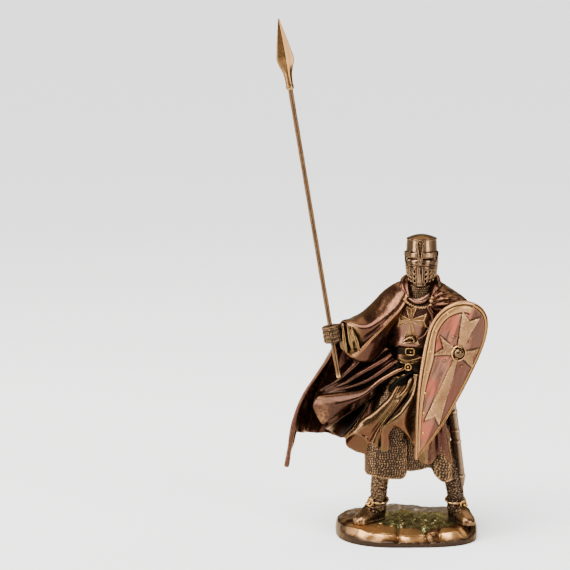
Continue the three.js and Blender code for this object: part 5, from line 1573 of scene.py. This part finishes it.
def plinth_top(x, y):
    """The height of the rock's top, which is level under each boot."""
    height = GROUND_Z + rock_lift(x, y) - LEDGE_DROP * ease((-y - 14) / 22)
    near = 1 - ease((to_soles(x, y) - 6) / 4)
    height = height * (1 - near) + GROUND_Z * near
    for a, b, w, d in LEDGE_LOBES:
        height = height + 0.9 * np.clip(1 - ((x - a) / w) ** 2 - ((y - b) / d) ** 2, 0, 1) * (1 - near)
    for crack, slant, width in CRACKS:
        gap = (x - crack - slant * (y + 26)) / width
        height = height - 1.5 * np.exp(-(gap**2)) * ease((-y - 15) / 6)
    ragged = 0.34 * fractal(x, y, 5, 9) * (1 - smooth_share(x, y))
    tufts = 0.8 * np.abs(fractal(x, y, 21, 3.0, 3)) * moss_share(x, y)
    return height + (ragged + tufts) * (1 - 0.85 * near)


print("ground at the front and at the back:", plinth_top(np.zeros(2), np.array([-30.0, 30.0])).round(1))

# %% [markdown]
# ## Plinth
# Rings run up the side and then in to the middle, and the front edge is bevelled and worn. The same functions
# that shape the rock mark its moss, a pale grey at the back of its top, its dark side and its golden lobes.

# %% The plinth
PLINTH_SIDES = 410
angles, c, s = circle(PLINTH_SIDES)
facing_front = ease((-s - 0.05) / 0.6) * ease((c + 1.05) / 0.5)
bevel = 0.115 * facing_front * (1 + 0.25 * np.sin(9 * angles) + 0.15 * np.sin(17 * angles + 1))
levels = [(0.985 + 0.015 * math.sin(0.5 + 2.2 * part) - 0.012 * part**4, part, 0) for part in np.linspace(0, 0.96, 24)]
levels += [(0.972, 0.985, 0.1), (0.964, 1, 0.3), (0.954, 1, 0.15)]
levels += [(share, 1, 0) for share in np.linspace(0.944, 0.02, 86)]
rows, moss, bare, flank, lobe = [], [], [], [], []
for share, part, drop in levels:
    slope = ease((part - 0.42) / 0.6)
    reach = plinth_reach(angles) * share * (1 - bevel * slope)
    x, y = PLINTH_HALF_WIDTH * reach * c, PLINTH_MIDDLE_Y + PLINTH_HALF_DEPTH * reach * s
    on_side, on_top = share > 0.95, share < 0.93
    side_waves = 0.22 * fractal(angles * 44, angles * 0 + 6 * part, 31, 16, 3) * on_side * (part > 0)
    z = plinth_top(x, y) * part - drop
    for crack, _, width in CRACKS:
        z = z - 1.2 * slope * facing_front * (part < 1) * np.exp(-(((x - crack) / width) ** 2)) * (y < 0)
    rows.append(np.stack([x + side_waves * c, y + side_waves * s, z], -1))
    green = moss_share(x, y) * on_top
    moss.append(green * np.clip(0.6 + 0.65 * fractal(x, y, 17, 8, 4), 0.08, 1))
    patches = np.clip(0.7 + 0.6 * fractal(x, y, 19, 6, 4), 0.2, 1)
    bare.append(ease((y - 10) / 10 + 0.5 * fractal(x, y, 12, 10, 3)) * (1 - green) * on_top * patches)
    front_slope = facing_front * ease((part - 0.5) / 0.25)
    flank.append((1 - 0.9 * front_slope) * on_side)
    gold = np.maximum(smooth_share(x, y), front_slope * on_side * smooth_share(x, y * 0.86))
    lobe.append(gold * (1 - flank[-1]) * (1 - green))
put_down(
    "plinth_rock", skin(rows), "plinth", "plinth_bronze", rock_finish, moss=moss, bare=bare, flank=flank, lobe=lobe
)

# %% [markdown]
# ## Rubbed ridges
# A cloth rubs bronze bright wherever it stands proud. The mark `edge` compares the surface with a smoothed
# copy of itself, because ridges stand proud of that. Nodes could do it as well.

# %% Ridges
def neighbours(mesh):
    """A function that averages values over the neighbours of each corner."""
    pairs = np.empty(len(mesh.edges) * 2, np.int32)
    mesh.edges.foreach_get("vertices", pairs)
    a, b = pairs.reshape(-1, 2).T
    count = np.maximum(np.bincount(pairs, minlength=len(mesh.vertices)), 1.0)

    def average(values):
        total = [np.bincount(a, v[b], len(v)) + np.bincount(b, v[a], len(v)) for v in values.T]
        return np.stack(total, -1) / count[:, None]

    return average


def edges_of(mesh, rounds, full, later):
    """How far each corner stands proud of a smoothed copy of its mesh."""
    average, where = neighbours(mesh), corners_of(mesh) / MM
    soft = where
    for _ in range(rounds):
        soft = 0.5 * soft + 0.5 * average(soft)
    proud = np.clip(0.5 * ((where - soft) * corners_of(mesh, "normal")).sum(1) / full, -1, 1)[:, None]
    for _ in range(later):
        proud = 0.5 * proud + 0.5 * average(proud)
    return proud[:, 0]


print("corners of the helm that stand proud:", int((edges_of(pieces["helm"], 6, 0.16, 0) > 0.2).sum()))

# %% [markdown]
# ## Hollows full of wax, and painted shade
# Wax stays where no cloth reaches it. The darkening mark looks out of each corner in many directions, through a
# coarse grid of the whole statuette, and counts how often the view is blocked. Rays would find the same, but
# for half a million corners the grid is far quicker. Faces that look down also get painted shade in this mark.

# %% Hollows
GOLDEN_ANGLE = math.pi * (3 - math.sqrt(5))
DIRECTIONS = [
    np.array([math.sqrt(1 - h * h) * math.cos(GOLDEN_ANGLE * k), math.sqrt(1 - h * h) * math.sin(GOLDEN_ANGLE * k), h])
    for k, h in enumerate(np.linspace(-0.95, 0.95, 26))
]
GRID_LOW = np.array([-90.0, -45.0, -6.0])
GRID_SIZE = np.array([146, 96, 340])


def cells_at(where):
    """The cell of the grid, 1 mm wide, that each place lies in."""
    return (where - GRID_LOW).astype(int)


filled = np.zeros(GRID_SIZE, np.float32)
for mesh in pieces.values():
    filled[tuple(cells_at(corners_of(mesh) / MM).T)] = 1
filled[:, :, :5] = 1


def hollows_of(mesh):
    """How much of the view out of each corner is blocked by the statuette, with painted shade on faces that look down.
    """
    average, where, normal = neighbours(mesh), corners_of(mesh) / MM, corners_of(mesh, "normal")
    blocked, total = np.zeros(len(where)), np.full(len(where), 1e-6)
    for way in DIRECTIONS:
        facing = normal @ way
        use = facing > 0.12
        hidden = np.zeros(use.sum())
        for far in (1.4, 2.6, 4, 6, 8.5, 12, 16):
            spot = cells_at(where[use] + normal[use] * 1.3 + way * far)
            inside = np.all((spot >= 0) & (spot < GRID_SIZE), axis=1)
            hit = filled[tuple(np.where(inside[:, None], spot, 0).T)] * inside * (1 - far / 24)
            hidden = np.maximum(hidden, hit)
        blocked[use] += hidden * facing[use]
        total[use] += facing[use]
    # Faces that look down also get painted shade.
    share = (blocked / total + 0.22 * np.clip(-normal[:, 2], 0, 1))[:, None]
    for _ in range(3):
        share = 0.4 * share + 0.6 * average(share)
    return share[:, 0]


print("cells of the grid that are filled:", int(filled[:, :, 5:].sum()))

# %% [markdown]
# ## Wax, painted shade and rubbing
# Both marks are now put on every piece. Fine relief, such as mail, needs few rounds of smoothing, and broad
# folds need many. The lower cloak gets painted shade that deepens towards the bottom, the left leg is made
# darker, and the mitten and the right leg lighter.

# %% Marks of wear
FINE_PIECES = (
    "helm", "mail_flap_right", "mail_flap_left", "mail_coif", "mitten", "leg_right", "leg_left", "scabbard",
    "breast_cross", "shield_board", "spear_shaft_turned",
)
# Extra darkening of a few pieces, and lightening where the value is below zero.
MORE_WAX = {"mitten": -0.07, "leg_right": -0.12, "leg_left": 0.2}

for name, mesh in pieces.items():
    edge = edges_of(mesh, 6, 0.16, 0) if name in FINE_PIECES else edges_of(mesh, 36, 0.9, 6)
    hollow = hollows_of(mesh)
    if name == "leg_left":
        edge -= 0.2
    if name == "plinth_rock":
        edge *= 1 - np.append(np.ravel(flank), [1, 1])
    # Painted shade on the cloak, deeper towards the bottom.
    if name.startswith("cloak"):
        low_down = np.clip((112 - corners_of(mesh)[:, 2] / MM) / 18, 0, 1)
        hollow += 0.2 * low_down * (1.0 if name == "cloak_folds" else 0.4)
    hollow += MORE_WAX.get(name, 0)
    mark(mesh, edge=edge, hollow=hollow)
    print(name, "edge", edge.min().round(2), edge.max().round(2), "hollow", hollow.mean().round(2))

# %% [markdown]
# ## Studio
# The floor is plain pale paper. One broad light from above makes the soft shadow, and tall boxes at the left
# and right draw the long highlights that tell polished bronze from painted plaster.

# %% Floor and lights
FLOOR_REACH = 60.0
MIDDLE = (0, 0, 0.14)
paper = bpy.data.materials.new("floor_paper")
paper.use_nodes = True
shader = paper.node_tree.nodes["Principled BSDF"]
shader.inputs["Base Color"].default_value = (0.9, 0.9, 0.9, 1)
shader.inputs["Roughness"].default_value = 0.9
corners = [[x * FLOOR_REACH, y * FLOOR_REACH, 0] for x, y in ((-1, -1), (1, -1), (1, 1), (-1, 1))]
floor = in_scene("floor", mesh_from("floor", (corners, [[0, 1, 2, 3]])))
floor.data.materials.append(paper)


def put_light(name, kind, place, target, watts):
    lamp = in_scene(name, bpy.data.lights.new(name, kind))
    lamp.location = place
    lamp.rotation_euler = (Vector(target) - Vector(place)).to_track_quat("-Z", "Y").to_euler()
    lamp.data.energy = watts
    return lamp.data


def soft_box(name, place, width, height, watts, colour=(1, 1, 1)):
    """A lit panel that faces the statuette."""
    light = put_light(name, "AREA", place, MIDDLE, watts)
    light.shape = "RECTANGLE"
    light.size, light.size_y = width, height
    light.color = colour


put_light("even_light", "SUN", (-0.5, -0.7, 1.6), (0, 0, 0), 8.0).angle = math.radians(50)
soft_box("left_front", (-1.15, -0.65, 0.5), 0.5, 0.9, 25, (1, 0.98, 0.95))
soft_box("right_front", (0.85, -0.85, 0.5), 0.5, 0.9, 18)
soft_box("right_rim", (0.8, 0.35, 0.6), 0.2, 0.7, 1.5)
soft_box("left_rim", (-0.9, 0.3, 0.5), 0.2, 0.7, 5)
soft_box("overhead", (0.1, 0.6, 1.1), 1.2, 0.7, 8, (1, 0.9, 0.8))

world = bpy.data.worlds.new("studio")
world.use_nodes = True
background = world.node_tree.nodes["Background"]
background.inputs["Strength"].default_value = 1.0
toward = Wire(world.node_tree).make("ShaderNodeTexCoord", out=0)
behind = toward.make("ShaderNodeVectorMath", {"operation": "DOT_PRODUCT"}, {0: toward, 1: (0, 0.94, 0.34)}, out=1)
glow = behind.between(0.72, 0.98).mix((0.12, 0.12, 0.12), (0.62, 0.6, 0.56))
world.node_tree.links.new(glow.socket, background.inputs["Color"])
bpy.context.scene.world = world
print("lights:", [light.name for light in bpy.data.lights])
